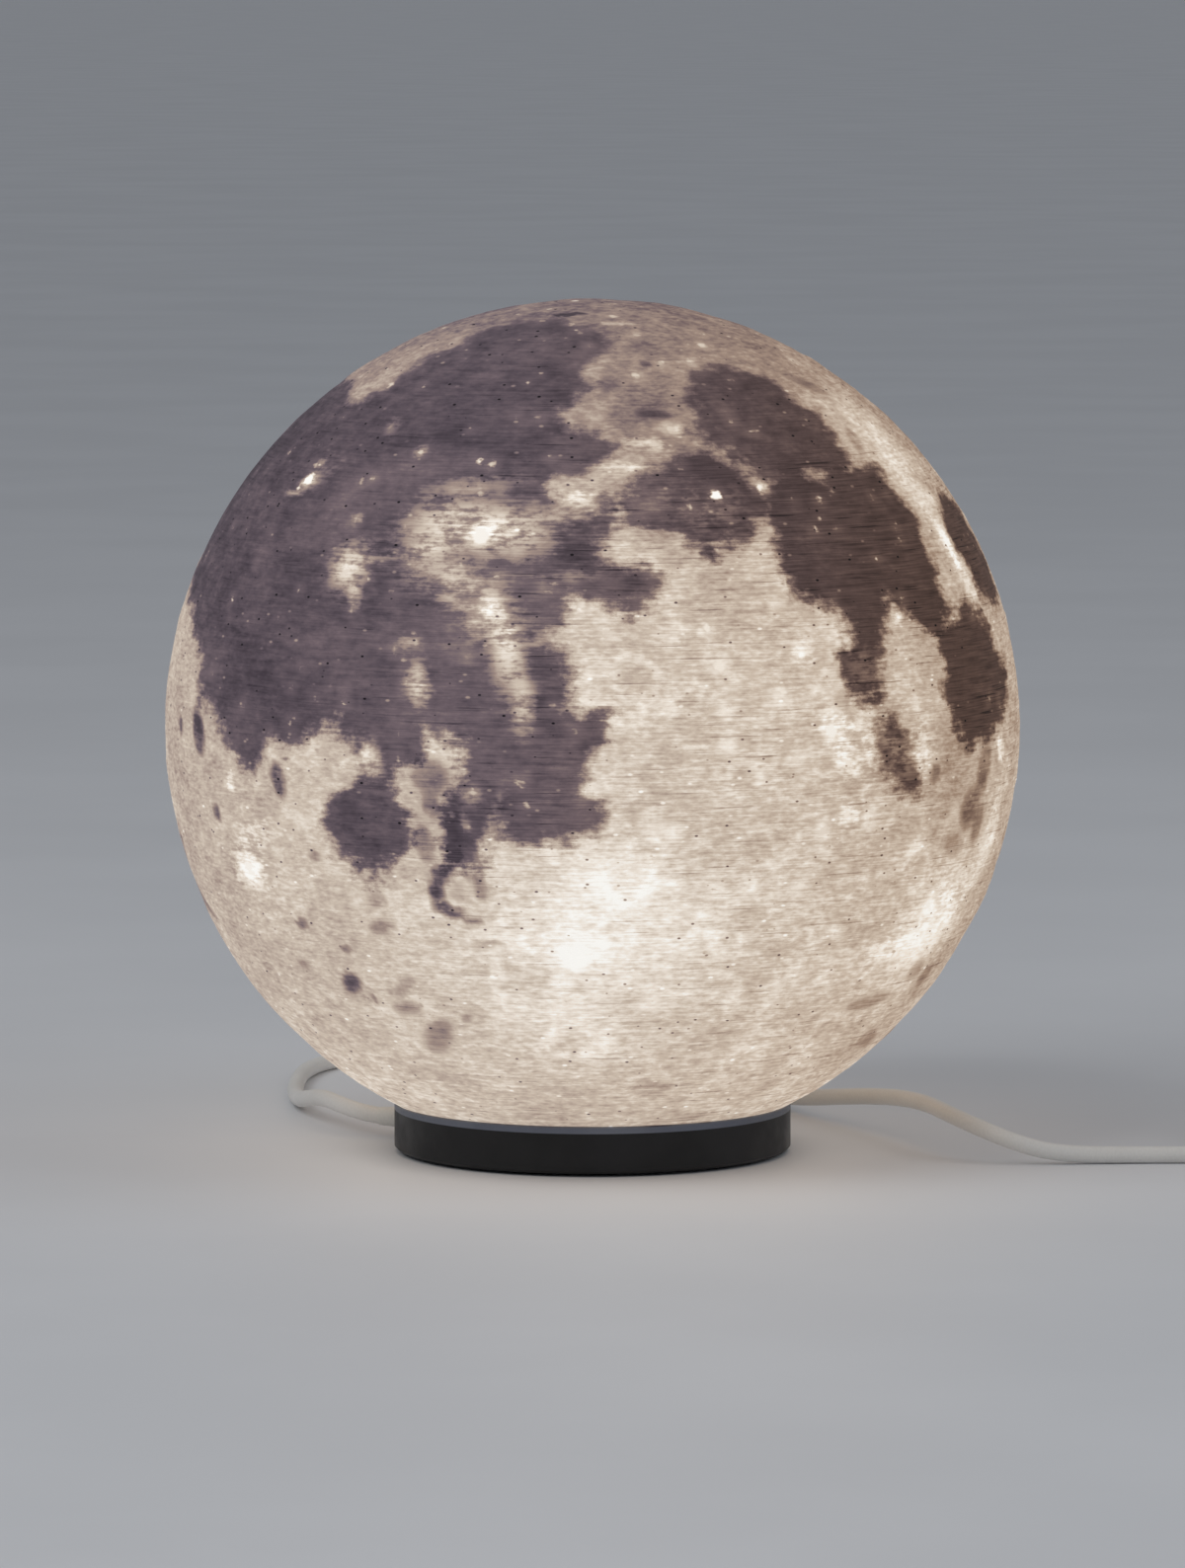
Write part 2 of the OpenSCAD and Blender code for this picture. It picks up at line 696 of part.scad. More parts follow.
module plug_shell() {
    wall = 0.3;
    window = 2.4;
    color("silver")
        translate([plug_x, plug_y + relief_l + grip_l, plug_z])
            difference() {
                translate([-shell_w / 2, 0, -shell_t / 2]) cube([shell_w, shell_l, shell_t]);
                translate([-shell_w / 2 + wall, wall, -shell_t / 2 + wall])
                    cube([shell_w - 2 * wall, shell_l, shell_t - 2 * wall]);
                for (side = [-1, 1])
                    translate([side * 2.9 - window / 2, 5.1, -shell_t]) cube([window, window, 2 * shell_t]);
            }
}

module plug_tongue() {
    color("#1a1a1c")
        translate([plug_x - 5.6, plug_y + relief_l + grip_l + 0.3, plug_z + 0.05])
            cube([11.2, shell_l - 0.8, 1.85]);
}

module plug_contacts() {
    color("gold")
        for (x = [-3.5, -1, 1, 3.5])
            translate([plug_x + x - 0.5, plug_y + relief_l + grip_l + 2, plug_z + 0.05 - 0.2])
                cube([1, 8, 0.2]);
}

moon_globe();
globe_collar();
touch_ring();
base_housing();
bottom_cover();
rubber_feet();
cover_screws();
main_board();
board_screws();
touch_chip();
board_inductor();
board_capacitors();
touch_contact();
led_turret();
turret_screws();
heat_sink();
led_board();
leds();
led_board_screws();
diffuser_cap();
supply_wires();
lead_grommet();
lead_cores();
lead_run();
lead_coil();
coil_tie();
lead_tail();
plug_body();
plug_shell();
plug_tongue();
plug_contacts();
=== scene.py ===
import math

import bpy
import numpy as np
from mathutils import Matrix, Vector, noise


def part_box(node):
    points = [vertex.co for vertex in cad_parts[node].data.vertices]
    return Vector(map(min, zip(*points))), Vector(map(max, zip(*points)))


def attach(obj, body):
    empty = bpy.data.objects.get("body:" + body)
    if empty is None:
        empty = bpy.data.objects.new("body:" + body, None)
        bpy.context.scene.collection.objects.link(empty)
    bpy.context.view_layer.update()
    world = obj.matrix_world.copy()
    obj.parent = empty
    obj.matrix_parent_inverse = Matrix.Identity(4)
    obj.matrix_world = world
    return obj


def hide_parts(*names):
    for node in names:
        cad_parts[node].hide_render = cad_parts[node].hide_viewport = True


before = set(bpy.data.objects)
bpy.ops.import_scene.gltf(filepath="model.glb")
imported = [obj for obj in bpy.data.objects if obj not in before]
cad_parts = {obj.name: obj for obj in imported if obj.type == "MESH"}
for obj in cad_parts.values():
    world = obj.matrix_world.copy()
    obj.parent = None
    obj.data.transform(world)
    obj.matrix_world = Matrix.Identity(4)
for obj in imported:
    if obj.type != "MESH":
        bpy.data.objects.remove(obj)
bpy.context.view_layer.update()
MM = 0.001


# ---------------- camera
# The lamp is seen from 1.5 m in front and 137 mm above the globe's middle, through a long lens.
# The view tips down 5.6 degrees, so the base's top shows as a thin ellipse under the globe.
CAMERA_AWAY = 1500
CAMERA_UP = 212
CAMERA_TIP = 5.6
camera_data = bpy.data.cameras.new("camera")
camera_data.lens = 196.55
camera_data.sensor_width = 36
camera_data.sensor_fit = "AUTO"
camera_data.clip_end = 200
camera = bpy.data.objects.new("camera", camera_data)
camera.location = (0, -CAMERA_AWAY * MM, CAMERA_UP * MM)
camera.rotation_euler = (math.radians(90 - CAMERA_TIP), 0, 0)
bpy.context.scene.collection.objects.link(camera)
bpy.context.scene.camera = camera
bpy.context.scene.view_settings.view_transform = "Standard"
bpy.context.scene.view_settings.look = "None"


# ---------------- lead
# One length of round two-core lead in soft white sheath, 3 mm thick and 1.07 m long, extruded.
# It leaves the base at the rear left, loops behind the globe and goes out to the right, where the
# rest of it lies in a coil of six turns, wound inwards on the table and outwards on top.
LEAD_D = 3.0
LEAD_EXIT = (-37.74, 16.02, 3.8)
LEAD_ROUTE = [
    (-40.6, 17.4, 4.2), (-43.4, 19.8, 4.7), (-45.8, 23.4, 5.1), (-48, 28.5, 5.2), (-50, 34.5, 4.6),
    (-51.8, 41.5, 3.5), (-53.2, 49.5, 2.3), (-54.2, 58, 1.7), (-54.8, 67, 1.5), (-54.9, 77, 1.5),
    (-54.6, 87, 1.5), (-53.4, 97, 1.5), (-50.5, 106.5, 1.5), (-45, 114.5, 1.5), (-36.5, 120, 1.5),
    (-26, 122.5, 1.5), (-14.5, 122, 1.5), (-3.5, 118.5, 1.5), (7, 112, 1.5), (16, 102.5, 1.5),
    (23, 91, 1.5), (28, 78.5, 1.5), (31.5, 66, 1.6), (35, 54.5, 2.2), (39.5, 43.5, 3.4),
    (45, 33.5, 4.9), (50.5, 23.5, 6.3), (55.5, 12.5, 7.4), (59.5, 1.5, 7.8), (63, -8, 7.3),
    (67.5, -14.5, 6), (73, -18.2, 4.2), (79, -18.8, 2.5), (86, -18, 1.7), (95, -17.2, 1.5),
    (105, -17, 1.5), (115, -17, 1.7), (125, -17, 2), (133, -17, 2.1)]
COIL_CENTRE = (136.0, 6.2514)
COIL_TURNS = 6.25
COIL_HALF = 3.125
COIL_IN_R = 12.0
COIL_STEP = 3.9
COIL_RISE = 3.5
COIL_Z = 2.1
COIL_SOFT = 0.25
COIL_POINTS = 300
TAIL_POINTS = 12
TAIL_START = (159.2514, 9.2514, 5.6)
PLUG_Y = 31.2514
PLUG_Z = 4.0


def ease(t):
    """0 to 1 with a level start and end."""
    t = min(1.0, max(0.0, t))
    return t * t * (3 - 2 * t)


def coil_radius(turn):
    """Radius of the coil's centreline after so many turns: in to the middle, then out again."""
    return COIL_IN_R + COIL_STEP * (math.hypot(turn - COIL_HALF, COIL_SOFT) - COIL_SOFT)


def coil_place(turn):
    """The coil's centreline after so many turns."""
    angle = math.radians(360 * turn - 90)
    radius = coil_radius(turn)
    climb = ease((turn - COIL_HALF + COIL_SOFT) / (2 * COIL_SOFT))
    return (COIL_CENTRE[0] + radius * math.cos(angle), COIL_CENTRE[1] + radius * math.sin(angle),
            COIL_Z + COIL_RISE * climb)


def flowing(points, steps):
    """A smooth line through the points, with so many places in each stretch."""
    places = [np.array(p, float) for p in points]
    places = [2 * places[0] - places[1]] + places + [2 * places[-1] - places[-2]]
    line = []
    for a, b, c, d in zip(places, places[1:], places[2:], places[3:]):
        for i in range(steps):
            t = i / steps
            line.append(0.5 * (2 * b + (c - a) * t + (2 * a - 5 * b + 4 * c - d) * t * t
                               + (3 * b - a - 3 * c + d) * t ** 3))
    line.append(places[-2])
    return line


def feed(made, inputs):
    """Gives a shader node its inputs: plain values are set, other nodes' outputs are linked."""
    for key, value in inputs.items():
        if isinstance(value, bpy.types.NodeSocket):
            made.id_data.links.new(value, made.inputs[key])
        else:
            made.inputs[key].default_value = value


def node(kind, inputs, **settings):
    """A shader node with its settings and inputs, of which one at least is linked."""
    source = next(v for v in inputs.values() if isinstance(v, bpy.types.NodeSocket))
    made = source.id_data.nodes.new(kind)
    for key, value in settings.items():
        setattr(made, key, value)
    feed(made, inputs)
    return made


def chip(red, green, blue):
    """A paint chip's colour, 0 to 255, as the light that it sends back."""
    light = [v / 255 / 12.92 if v < 10.5 else ((v / 255 + 0.055) / 1.055) ** 2.4
             for v in (red, green, blue)]
    return (*light, 1)


def new_finish(name, specular, roughness=0.5, metallic=0.0):
    """A material with its shader and its places in millimetres."""
    material = bpy.data.materials.new(name)
    material.use_nodes = True
    nodes = material.node_tree.nodes
    shader = nodes["Principled BSDF"]
    feed(shader, {"Roughness": roughness, "Specular IOR Level": specular, "Metallic": metallic})
    at = nodes.new("ShaderNodeTexCoord").outputs["Object"]
    in_mm = node("ShaderNodeVectorMath", {0: at, 1: (1000, 1000, 1000)}, operation="MULTIPLY")
    return material, shader, in_mm.outputs[0]


def clouds(place, size, detail=3.0, stretch=(1, 1, 1), rough=0.5, shift=0.0):
    """Soft noise from 0 to 1 whose patches are about size millimetres across."""
    spread = node("ShaderNodeMapping", {
        "Vector": place, "Location": (shift, shift * 0.7, shift * 1.3),
        "Scale": [1 / (size * s) for s in stretch]})
    return node("ShaderNodeTexNoise", {
        "Vector": spread.outputs[0], "Scale": 1.0, "Detail": detail, "Roughness": rough}).outputs[0]


def between(value, low, high, out_low=0.0, out_high=1.0):
    """A smooth step from out_low to out_high as the value goes from low to high."""
    return node("ShaderNodeMapRange", {
        "Value": value, "From Min": low, "From Max": high, "To Min": out_low, "To Max": out_high},
        interpolation_type="SMOOTHSTEP").outputs[0]


def mixed(share, a, b, blend="MIX"):
    """Two colours, mixed by share."""
    return node("ShaderNodeMix", {0: share, 6: a, 7: b}, data_type="RGBA",
                blend_type=blend).outputs[2]


def two_tones(value, tone, other_tone, low=0.3, high=0.7):
    """From one tone to the other as the value goes from low to high."""
    return mixed(between(value, low, high), tone, other_tone)


def raised(height, depth, strength=1.0):
    """A relief so many millimetres deep."""
    return node("ShaderNodeBump", {
        "Height": height, "Distance": depth * MM, "Strength": strength}).outputs[0]


def grained(name, tone, other_tone, patch, grain, bump, rough, specular=0.4):
    """Moulded or drawn stuff: two close tones in soft patches, uneven gloss and a fine grain.

    The patches' size, the grain's size and the grain's depth are in millimetres.
    """
    material, shader, place = new_finish(name, specular)
    colour = two_tones(clouds(place, patch, 4.0), tone, other_tone, 0.35, 0.65)
    fine = clouds(place, grain, 2.0, shift=5.0)
    speckled = mixed(between(fine, 0.3, 0.7, 0.95, 1.0), (0, 0, 0, 1), colour)
    gloss = clouds(place, patch * 0.4, 3.0, shift=9.0)
    feed(shader, {"Base Color": speckled, "Roughness": between(gloss, 0.3, 0.7, *rough),
                  "Normal": raised(fine, bump, 0.6)})
    return material


lead_line = flowing([LEAD_EXIT] + LEAD_ROUTE, 5)[:-1]
lead_line += flowing([LEAD_ROUTE[-1], coil_place(0)], 2)[:-1]
lead_line += [coil_place(COIL_TURNS * i / COIL_POINTS) for i in range(COIL_POINTS + 1)]
for i in range(TAIL_POINTS + 1):
    share = i / TAIL_POINTS
    lead_line.append((TAIL_START[0], TAIL_START[1] + share * (PLUG_Y - TAIL_START[1]),
                      TAIL_START[2] + (PLUG_Z - TAIL_START[2]) * ease(share)))
lead_curve = bpy.data.curves.new("white_lead", "CURVE")
lead_curve.dimensions = "3D"
lead_curve.bevel_depth = LEAD_D / 2 * MM
lead_curve.bevel_resolution = 5
lead_curve.use_fill_caps = True
lead_spline = lead_curve.splines.new("POLY")
lead_spline.points.add(len(lead_line) - 1)
for point, place in zip(lead_spline.points, lead_line):
    point.co = (place[0] * MM, place[1] * MM, place[2] * MM, 1)
lead_spline.use_smooth = True
lead = bpy.data.objects.new("white_lead", lead_curve)
bpy.context.scene.collection.objects.link(lead)
sheath = grained("lead sheath", chip(224, 222, 217), chip(231, 229, 225), patch=30, grain=0.4,
                 bump=0.01, rough=(0.36, 0.46))
feed(sheath.node_tree.nodes["Principled BSDF"], {
    "Subsurface Weight": 0.1, "Subsurface Radius": (MM, MM, MM)})
lead_curve.materials.append(sheath)
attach(lead, "base")
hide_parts("lead_run", "lead_coil", "lead_tail")


# ---------------- strap
# A black hook-and-loop strap, half a millimetre thick and 7 mm wide, goes once round the coil's
# turns and laps over itself on top. The loop side is a short knitted pile.
STRAP_W = 7.0
STRAP_T = 0.5
STRAP_ANGLE = 135
STRAP_IN_R = 11.07
STRAP_OUT_R = 22.42
STRAP_ROOM_H = 6.7
STRAP_CORNER = 0.9
STRAP_CELLS = 8
EDGE_THINNING = 0.35
LAP_STEPS = 16
LAP_RISE = 6
LAP_LIFT = 1.1


def lap_line(steps):
    """The strap's middle line in its own plane, with outward normals, lapping over itself on top."""
    half_w = (STRAP_OUT_R - STRAP_IN_R) / 2 + STRAP_T / 2
    half_h = STRAP_ROOM_H / 2 + STRAP_T / 2
    line = []
    sides = [(1, 1), (1, -1), (-1, -1), (-1, 1)]
    for k, (sx, sz) in enumerate(sides + sides[:1]):
        middle = (sx * (half_w - STRAP_CORNER), sz * (half_h - STRAP_CORNER))
        start = math.pi / 2 - k * math.pi / 2
        for i in range(steps + 1):
            angle = start - i / steps * math.pi / 2
            c, s = math.cos(angle), math.sin(angle)
            line.append((middle[0] + STRAP_CORNER * c, middle[1] + STRAP_CORNER * s, c, s))
    return line[:-(steps // 2)]


strap_line = lap_line(8)
strap_points = []
strap_faces = []
turned = Matrix.Rotation(math.radians(STRAP_ANGLE), 3, "Z")
strap_middle = (STRAP_IN_R + STRAP_OUT_R) / 2
for i, (u, z, nu, nz) in enumerate(strap_line):
    lap = STRAP_T * LAP_LIFT * ease((i - len(strap_line) + LAP_STEPS) / LAP_RISE)
    for side in (-0.5, 0.5):
        for j in range(STRAP_CELLS + 1):
            w = (j / STRAP_CELLS - 0.5) * STRAP_W
            thin = 1 - EDGE_THINNING * ease((abs(w) / (STRAP_W / 2) - 0.8) / 0.2)
            out = lap + side * STRAP_T * thin
            place = turned @ Vector((strap_middle + u + nu * out, w, 0))
            strap_points.append(((COIL_CENTRE[0] + place.x) * MM, (COIL_CENTRE[1] + place.y) * MM,
                                 (STRAP_T + STRAP_ROOM_H / 2 + z + nz * out) * MM))
row = 2 * (STRAP_CELLS + 1)
for i in range(len(strap_line) - 1):
    a = i * row
    for j in range(STRAP_CELLS):
        strap_faces.append((a + j, a + j + 1, a + row + j + 1, a + row + j))
        b = a + STRAP_CELLS + 1
        strap_faces.append((b + j + 1, b + j, b + row + j, b + row + j + 1))
    for j in (0, STRAP_CELLS):
        edge = (a + j, a + STRAP_CELLS + 1 + j, a + row + STRAP_CELLS + 1 + j, a + row + j)
        strap_faces.append(edge if j else edge[::-1])
for a in (0, (len(strap_line) - 1) * row):
    for j in range(STRAP_CELLS):
        cap = (a + j, a + STRAP_CELLS + 1 + j, a + STRAP_CELLS + 2 + j, a + j + 1)
        strap_faces.append(cap if a else cap[::-1])


def new_piece(name, points, faces):
    """A piece from its points in metres and its faces."""
    mesh = bpy.data.meshes.new(name)
    mesh.from_pydata([tuple(p) for p in points], [], [tuple(f) for f in faces])
    mesh.validate()
    mesh.shade_smooth()
    piece = bpy.data.objects.new(name, mesh)
    bpy.context.scene.collection.objects.link(piece)
    return piece


def maths(operation, a, b=0.0, c=0.0):
    """Sum, product and so on of numbers or outputs."""
    return node("ShaderNodeMath", {0: a, 1: b, 2: c}, operation=operation).outputs[0]


strap = new_piece("coil_strap", strap_points, strap_faces)
webbing, shader, place = new_finish("hook and loop strap", 0.2, roughness=0.9)
pile = clouds(place, 0.35, 3.0)
nap = node("ShaderNodeTexVoronoi", {"Vector": place, "Scale": 1.8}).outputs["Distance"]
thread = maths("MULTIPLY", pile, nap)
feed(shader, {
    "Base Color": two_tones(thread, chip(24, 25, 28), chip(62, 64, 69), 0.1, 0.45),
    "Normal": raised(thread, 0.25), "Sheen Weight": 0.4, "Sheen Roughness": 0.5})
strap.data.materials.append(webbing)
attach(strap, "base")
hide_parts("coil_tie")


# ---------------- plug grip
# The plug's grip is soft white plastic moulded over the shell's end: a rounded block with a
# ribbed thumb hollow on each face, running out at the back into a ribbed strain relief.
PLUG_X = 159.2514
RELIEF_L = 9.0
GRIP_L = 22.0
GRIP_W = 15.6
GRIP_T = 8.0
ROUND = 2.0
BLOCKY = 5.5
RELIEF_TIP_R = 2.0
RELIEF_R = 3.2
GROOVE = 1.3
GROOVE_HALF_W = 0.35
SHOULDER = 2.2
THUMB_Y = 20.5
THUMB_R = 6.2
HOLLOW = 0.62
RIB_H = 0.42
RIB_PITCH = 2.0
GRIP_SIDES = 72
RELIEF_RINGS = 36
SHOULDER_RINGS = 8
SIDE_RINGS = 60
EDGE_RINGS = 6
TIP_EDGE = 0.05
grip_rings = [(0.0, 1.62, 1.62, ROUND), (0.0, 1.95, 1.95, ROUND)]
for i in range(RELIEF_RINGS + 1):
    along = i / RELIEF_RINGS
    radius = RELIEF_TIP_R + (RELIEF_R - RELIEF_TIP_R) * along
    for k in (1, 2, 3):
        away = abs(along * RELIEF_L - RELIEF_L * k / 4 - RELIEF_L / 16)
        radius = max(radius, RELIEF_R - GROOVE * ease((away - GROOVE_HALF_W) / 0.4))
    grip_rings.append((TIP_EDGE + along * (RELIEF_L - TIP_EDGE), radius, radius, ROUND))
for i in range(1, SHOULDER_RINGS + 1):
    angle = i / SHOULDER_RINGS * math.pi / 2
    grow = math.sin(angle)
    grip_rings.append((RELIEF_L + SHOULDER * (1 - math.cos(angle)),
                       RELIEF_R + (GRIP_W / 2 - RELIEF_R) * grow,
                       RELIEF_R + (GRIP_T / 2 - RELIEF_R) * grow, ROUND + (BLOCKY - ROUND) * grow))
for i in range(1, SIDE_RINGS + 1):
    grip_rings.append((RELIEF_L + SHOULDER + i / SIDE_RINGS * (GRIP_L - SHOULDER - 1),
                       GRIP_W / 2, GRIP_T / 2, BLOCKY))
for i in range(1, EDGE_RINGS + 1):
    angle = i / EDGE_RINGS * math.pi / 2
    inset = 1 - math.cos(angle)
    grip_rings.append((RELIEF_L + GRIP_L - 1 + math.sin(angle), GRIP_W / 2 - inset,
                       GRIP_T / 2 - inset, BLOCKY))
grip_rings.append((RELIEF_L + GRIP_L, 6.0, 2.3, 6.0))
grip_points = []
for y, half_w, half_t, square in grip_rings:
    for j in range(GRIP_SIDES):
        angle = 2 * math.pi * j / GRIP_SIDES
        c, s = math.cos(angle), math.sin(angle)
        reach = (abs(c) ** square + abs(s) ** square) ** (-1 / square)
        x, z = half_w * c * reach, half_t * s * reach
        hollow = ease((THUMB_R - math.hypot(x * 1.1, (y - THUMB_Y) * 0.85)) / 2.4)
        rib = 0.5 + 0.5 * math.cos(2 * math.pi * (y - THUMB_Y) / RIB_PITCH)
        if abs(z) > 1.5:
            z -= math.copysign(hollow * (HOLLOW - RIB_H * rib ** 2), z)
        grip_points.append(((PLUG_X + x) * MM, (PLUG_Y + y) * MM, (PLUG_Z + z) * MM))
grip_faces = []
for i in range(len(grip_rings) - 1):
    for j in range(GRIP_SIDES):
        k = (j + 1) % GRIP_SIDES
        grip_faces.append((i * GRIP_SIDES + j, (i + 1) * GRIP_SIDES + j,
                           (i + 1) * GRIP_SIDES + k, i * GRIP_SIDES + k))
grip_faces.append(tuple(range(GRIP_SIDES)))
grip_faces.append(tuple(reversed(range(len(grip_points) - GRIP_SIDES, len(grip_points)))))
grip = new_piece("plug_grip", grip_points, grip_faces)
grip.data.materials.append(grained("moulded grip", chip(216, 215, 210), chip(226, 225, 221),
                                   patch=12, grain=0.3, bump=0.03, rough=(0.45, 0.58)))
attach(grip, "base")
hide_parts("plug_body")


# ---------------- plug metal
# The shell is bent from nickel-plated steel strip and seamed underneath; the tongue inside is
# white glass-filled plastic, with four gold-plated strips lying in it.
def dress(finish, *names):
    """Gives the CAD nodes this finish."""
    for name in names:
        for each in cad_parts[name].material_slots:
            each.material = finish


def brushed(name, tone, other_tone, rough):
    """Plated or turned metal: fine drawn lines, faint stains and uneven gloss."""
    material, shader, place = new_finish(name, 0.5, metallic=1.0)
    lines = clouds(place, 0.5, 3.0, stretch=(4, 4, 0.25))
    stains = clouds(place, 5, 4.0, shift=3.0)
    feed(shader, {
        "Base Color": two_tones(stains, tone, other_tone, 0.35, 0.65),
        "Roughness": between(maths("ADD", lines, stains), 0.7, 1.3, *rough),
        "Normal": raised(lines, 0.01)})
    return material


dress(brushed("plated steel", chip(196, 197, 199), chip(176, 177, 180), rough=(0.22, 0.4)),
      "plug_shell")
dress(grained("plug tongue", chip(214, 214, 208), chip(225, 225, 220), patch=4, grain=0.2,
              bump=0.01, rough=(0.42, 0.55)), "plug_tongue")
dress(brushed("gold plate", chip(214, 176, 96), chip(198, 158, 80), rough=(0.2, 0.35)),
      "plug_contacts")


# ---------------- globe
# The globe is printed in one piece in thin layers of translucent white plastic, 150 mm across and
# 2.2 mm thick, with the Moon's craters in relief and its seas in thicker, darker plastic. It is
# cut flat at the bottom, where a short tube stands on the inner lip to hold the collar.
GLOBE_R = 75.0
GLOBE_Z = 75.23
GLOBE_WALL = 2.2
SEAT_Z = 8.9
SEAT_R = 35.0
LIP_TOP = 10.9
NECK_TOP = 14.9
NECK_OUT_R = 30.75
NECK_IN_R = 28.75

# The seas' shores, each point a latitude and a longitude on the Moon.
SEAS = {
    "storms_rains_and_clouds": [
        (55, -70), (49, -60), (44, -52), (40, -48), (36.5, -45), (37.5, -40), (41, -36), (46, -30.5),
        (49, -24), (50.5, -17), (50, -11), (48, -6), (45, -1.5), (41, -2.5), (37, -5.5), (32, -7),
        (29.5, -7), (27, -9.5), (24.5, -8), (22, -4), (20, -4.5), (18, -8), (16, -11.5), (13.5, -8),
        (13, -3), (10, -3), (7, -5), (4.8, -4), (4.2, 0), (2.4, 1), (1, 0), (-1.4, -0.5), (-1.6, -2),
        (-0.3, -3.5), (0.3, -6), (0.4, -9.4), (-2, -10), (-5, -11.5), (-7.5, -10.2), (-8.6, -8.3),
        (-12, -9.3), (-13.2, -8), (-13.2, -5.6), (-16, -5.8), (-18, -7.8), (-22.3, -8.6), (-24, -6),
        (-28.3, -6.8), (-28.8, -14), (-29.5, -18.5), (-27, -20.5), (-30.5, -24), (-30.5, -28),
        (-27.5, -28.8), (-24, -28), (-21.5, -25), (-20, -23.6), (-16.5, -23.6), (-14.5, -25),
        (-14.2, -28), (-17, -30), (-18, -33), (-21, -33.2), (-24, -32.8), (-27, -33.6), (-29, -36),
        (-30, -40), (-28.8, -43), (-26.5, -46), (-21.5, -45.6), (-19.3, -43.5), (-19, -40),
        (-17, -38.5), (-15, -37), (-12.8, -39.5), (-10.8, -41), (-11.7, -45), (-12.3, -49),
        (-10, -50.5), (-9.5, -52.5), (-11.5, -54), (-13.8, -56), (-12.5, -58.7), (-9, -60),
        (-6, -62.3), (-3.5, -63.2), (-1.5, -65.5), (3, -65.7), (8, -68.5), (13, -73), (20, -82),
        (35, -88), (48, -84)],
    "serenity": [
        (38, 20), (37.3, 14), (34.5, 10.5), (31, 8.6), (26, 8), (23, 7.5), (21, 10.5), (18.5, 13.5),
        (17, 16), (17, 20), (19, 25), (20.5, 30), (22, 30), (25, 30), (28, 29.5), (30, 28),
        (31, 25.3), (33, 25.5), (35, 26.5), (37, 25)],
    "tranquility": [
        (18.2, 18), (19.4, 24), (20.6, 28), (21.4, 31), (21.5, 33), (22, 36), (20.5, 37.3),
        (19, 38.5), (18, 40), (15, 41), (12, 41.5), (9.5, 41.5), (7.5, 42), (6, 44), (3.5, 44),
        (2, 42.5), (0.5, 39.5), (1.5, 37), (2.8, 35), (3.4, 32.6), (0.5, 31), (-3, 30.6), (-8, 30.4),
        (-9.3, 28), (-8, 25.3), (-5, 24.5), (-3, 25.8), (-0.5, 25.6), (0.5, 23.5), (0.6, 20.5),
        (2.5, 18.2), (5, 17.3), (9.5, 16.6), (12, 15.8), (15, 16)],
    "vapours": [
        (19.4, 4), (20, 8.4), (18.8, 12.4), (16.9, 14.6), (14.4, 16.5), (12, 16), (9.5, 13),
        (8, 10.5), (6.5, 8), (7.5, 5), (9.6, 2), (10, -2.8), (14, -2.8), (17.4, 1.4)],
    "crises": [
        (23.4, 51.8), (20, 49.6), (17, 48.8), (14, 49.2), (11.5, 51.6), (9.5, 54.5), (9.5, 59),
        (11, 63), (15, 67), (20, 66), (23.5, 58)],
    "plenty": [
        (8.5, 49), (6, 53), (3, 57), (1, 59.5), (-3, 61), (-6, 58.5), (-7.5, 56.5), (-9.5, 54.5),
        (-11, 50), (-11.5, 46.5), (-10, 44.7), (-7.5, 43.5), (-5.5, 42.2), (-3, 42.6), (-1, 41.3),
        (1.5, 42.2), (4, 46.5), (6.5, 47.5)],
    "nectar": [
        (-12.8, 30.4), (-11, 32.5), (-11.4, 35.6), (-13.5, 37.6), (-16.2, 38), (-19, 39), (-19.3, 37),
        (-17.8, 33.4), (-15.6, 31)],
}
# Seas beyond the limb and on the far side: latitude, longitude and radius, in degrees.
FAR_SEAS = [(27, 148, 4.6), (26, 143, 3), (-19, -94, 3.6), (-20, 129, 3.4), (-34, 163, 3.4)]
# Wide soft changes of tone: latitude, longitude, half height, half width, strength and tilt.
GLOWS = [
    (-42, -6, 14, 16, 0.11), (-35, -4, 5, 7, 0.09), (-43, -11, 3, 4, 0.1), (-7, -25, 9, 12, 0.07),
    (-20, -15, 8, 8, 0.07), (18, -32, 5, 15, 0.07), (3, -20, 8, 10, 0.08), (6, -2, 6, 5, 0.04),
    (36, -6.5, 6, 3, 0.06), (17, 58, 7, 7, -0.05), (30, 39, 6.4, 9.5, 0.19, -42),
    (20, 43.5, 3.4, 7, 0.16, -55), (11, 49, 2.4, 6, 0.16, -60), (-33, 55, 9, 8, 0.19, 20),
    (-40, 47, 3, 9, 0.08, 25), (-21, 62, 7, 3, 0.14), (33, 1, 8, 6, -0.08), (24, 0, 5, 5, -0.08),
    (12.5, 0, 2.6, 2.6, 0.07), (8.5, 0.5, 2, 3, -0.12), (19.5, 8, 2.6, 5.5, -0.16, -20),
    (-16.5, 32.5, 4, 3, -0.08), (-15, 45, 6, 5, -0.08), (-23, -28.5, 5, 4.5, -0.13),
    (0, 8, 9, 10, -0.055), (-39, -54, 8, 8, -0.05), (-73, 0, 8, 60, -0.05), (-50, 180, 22, 24, -0.14),
    (72, 0, 14, 90, -0.05)]
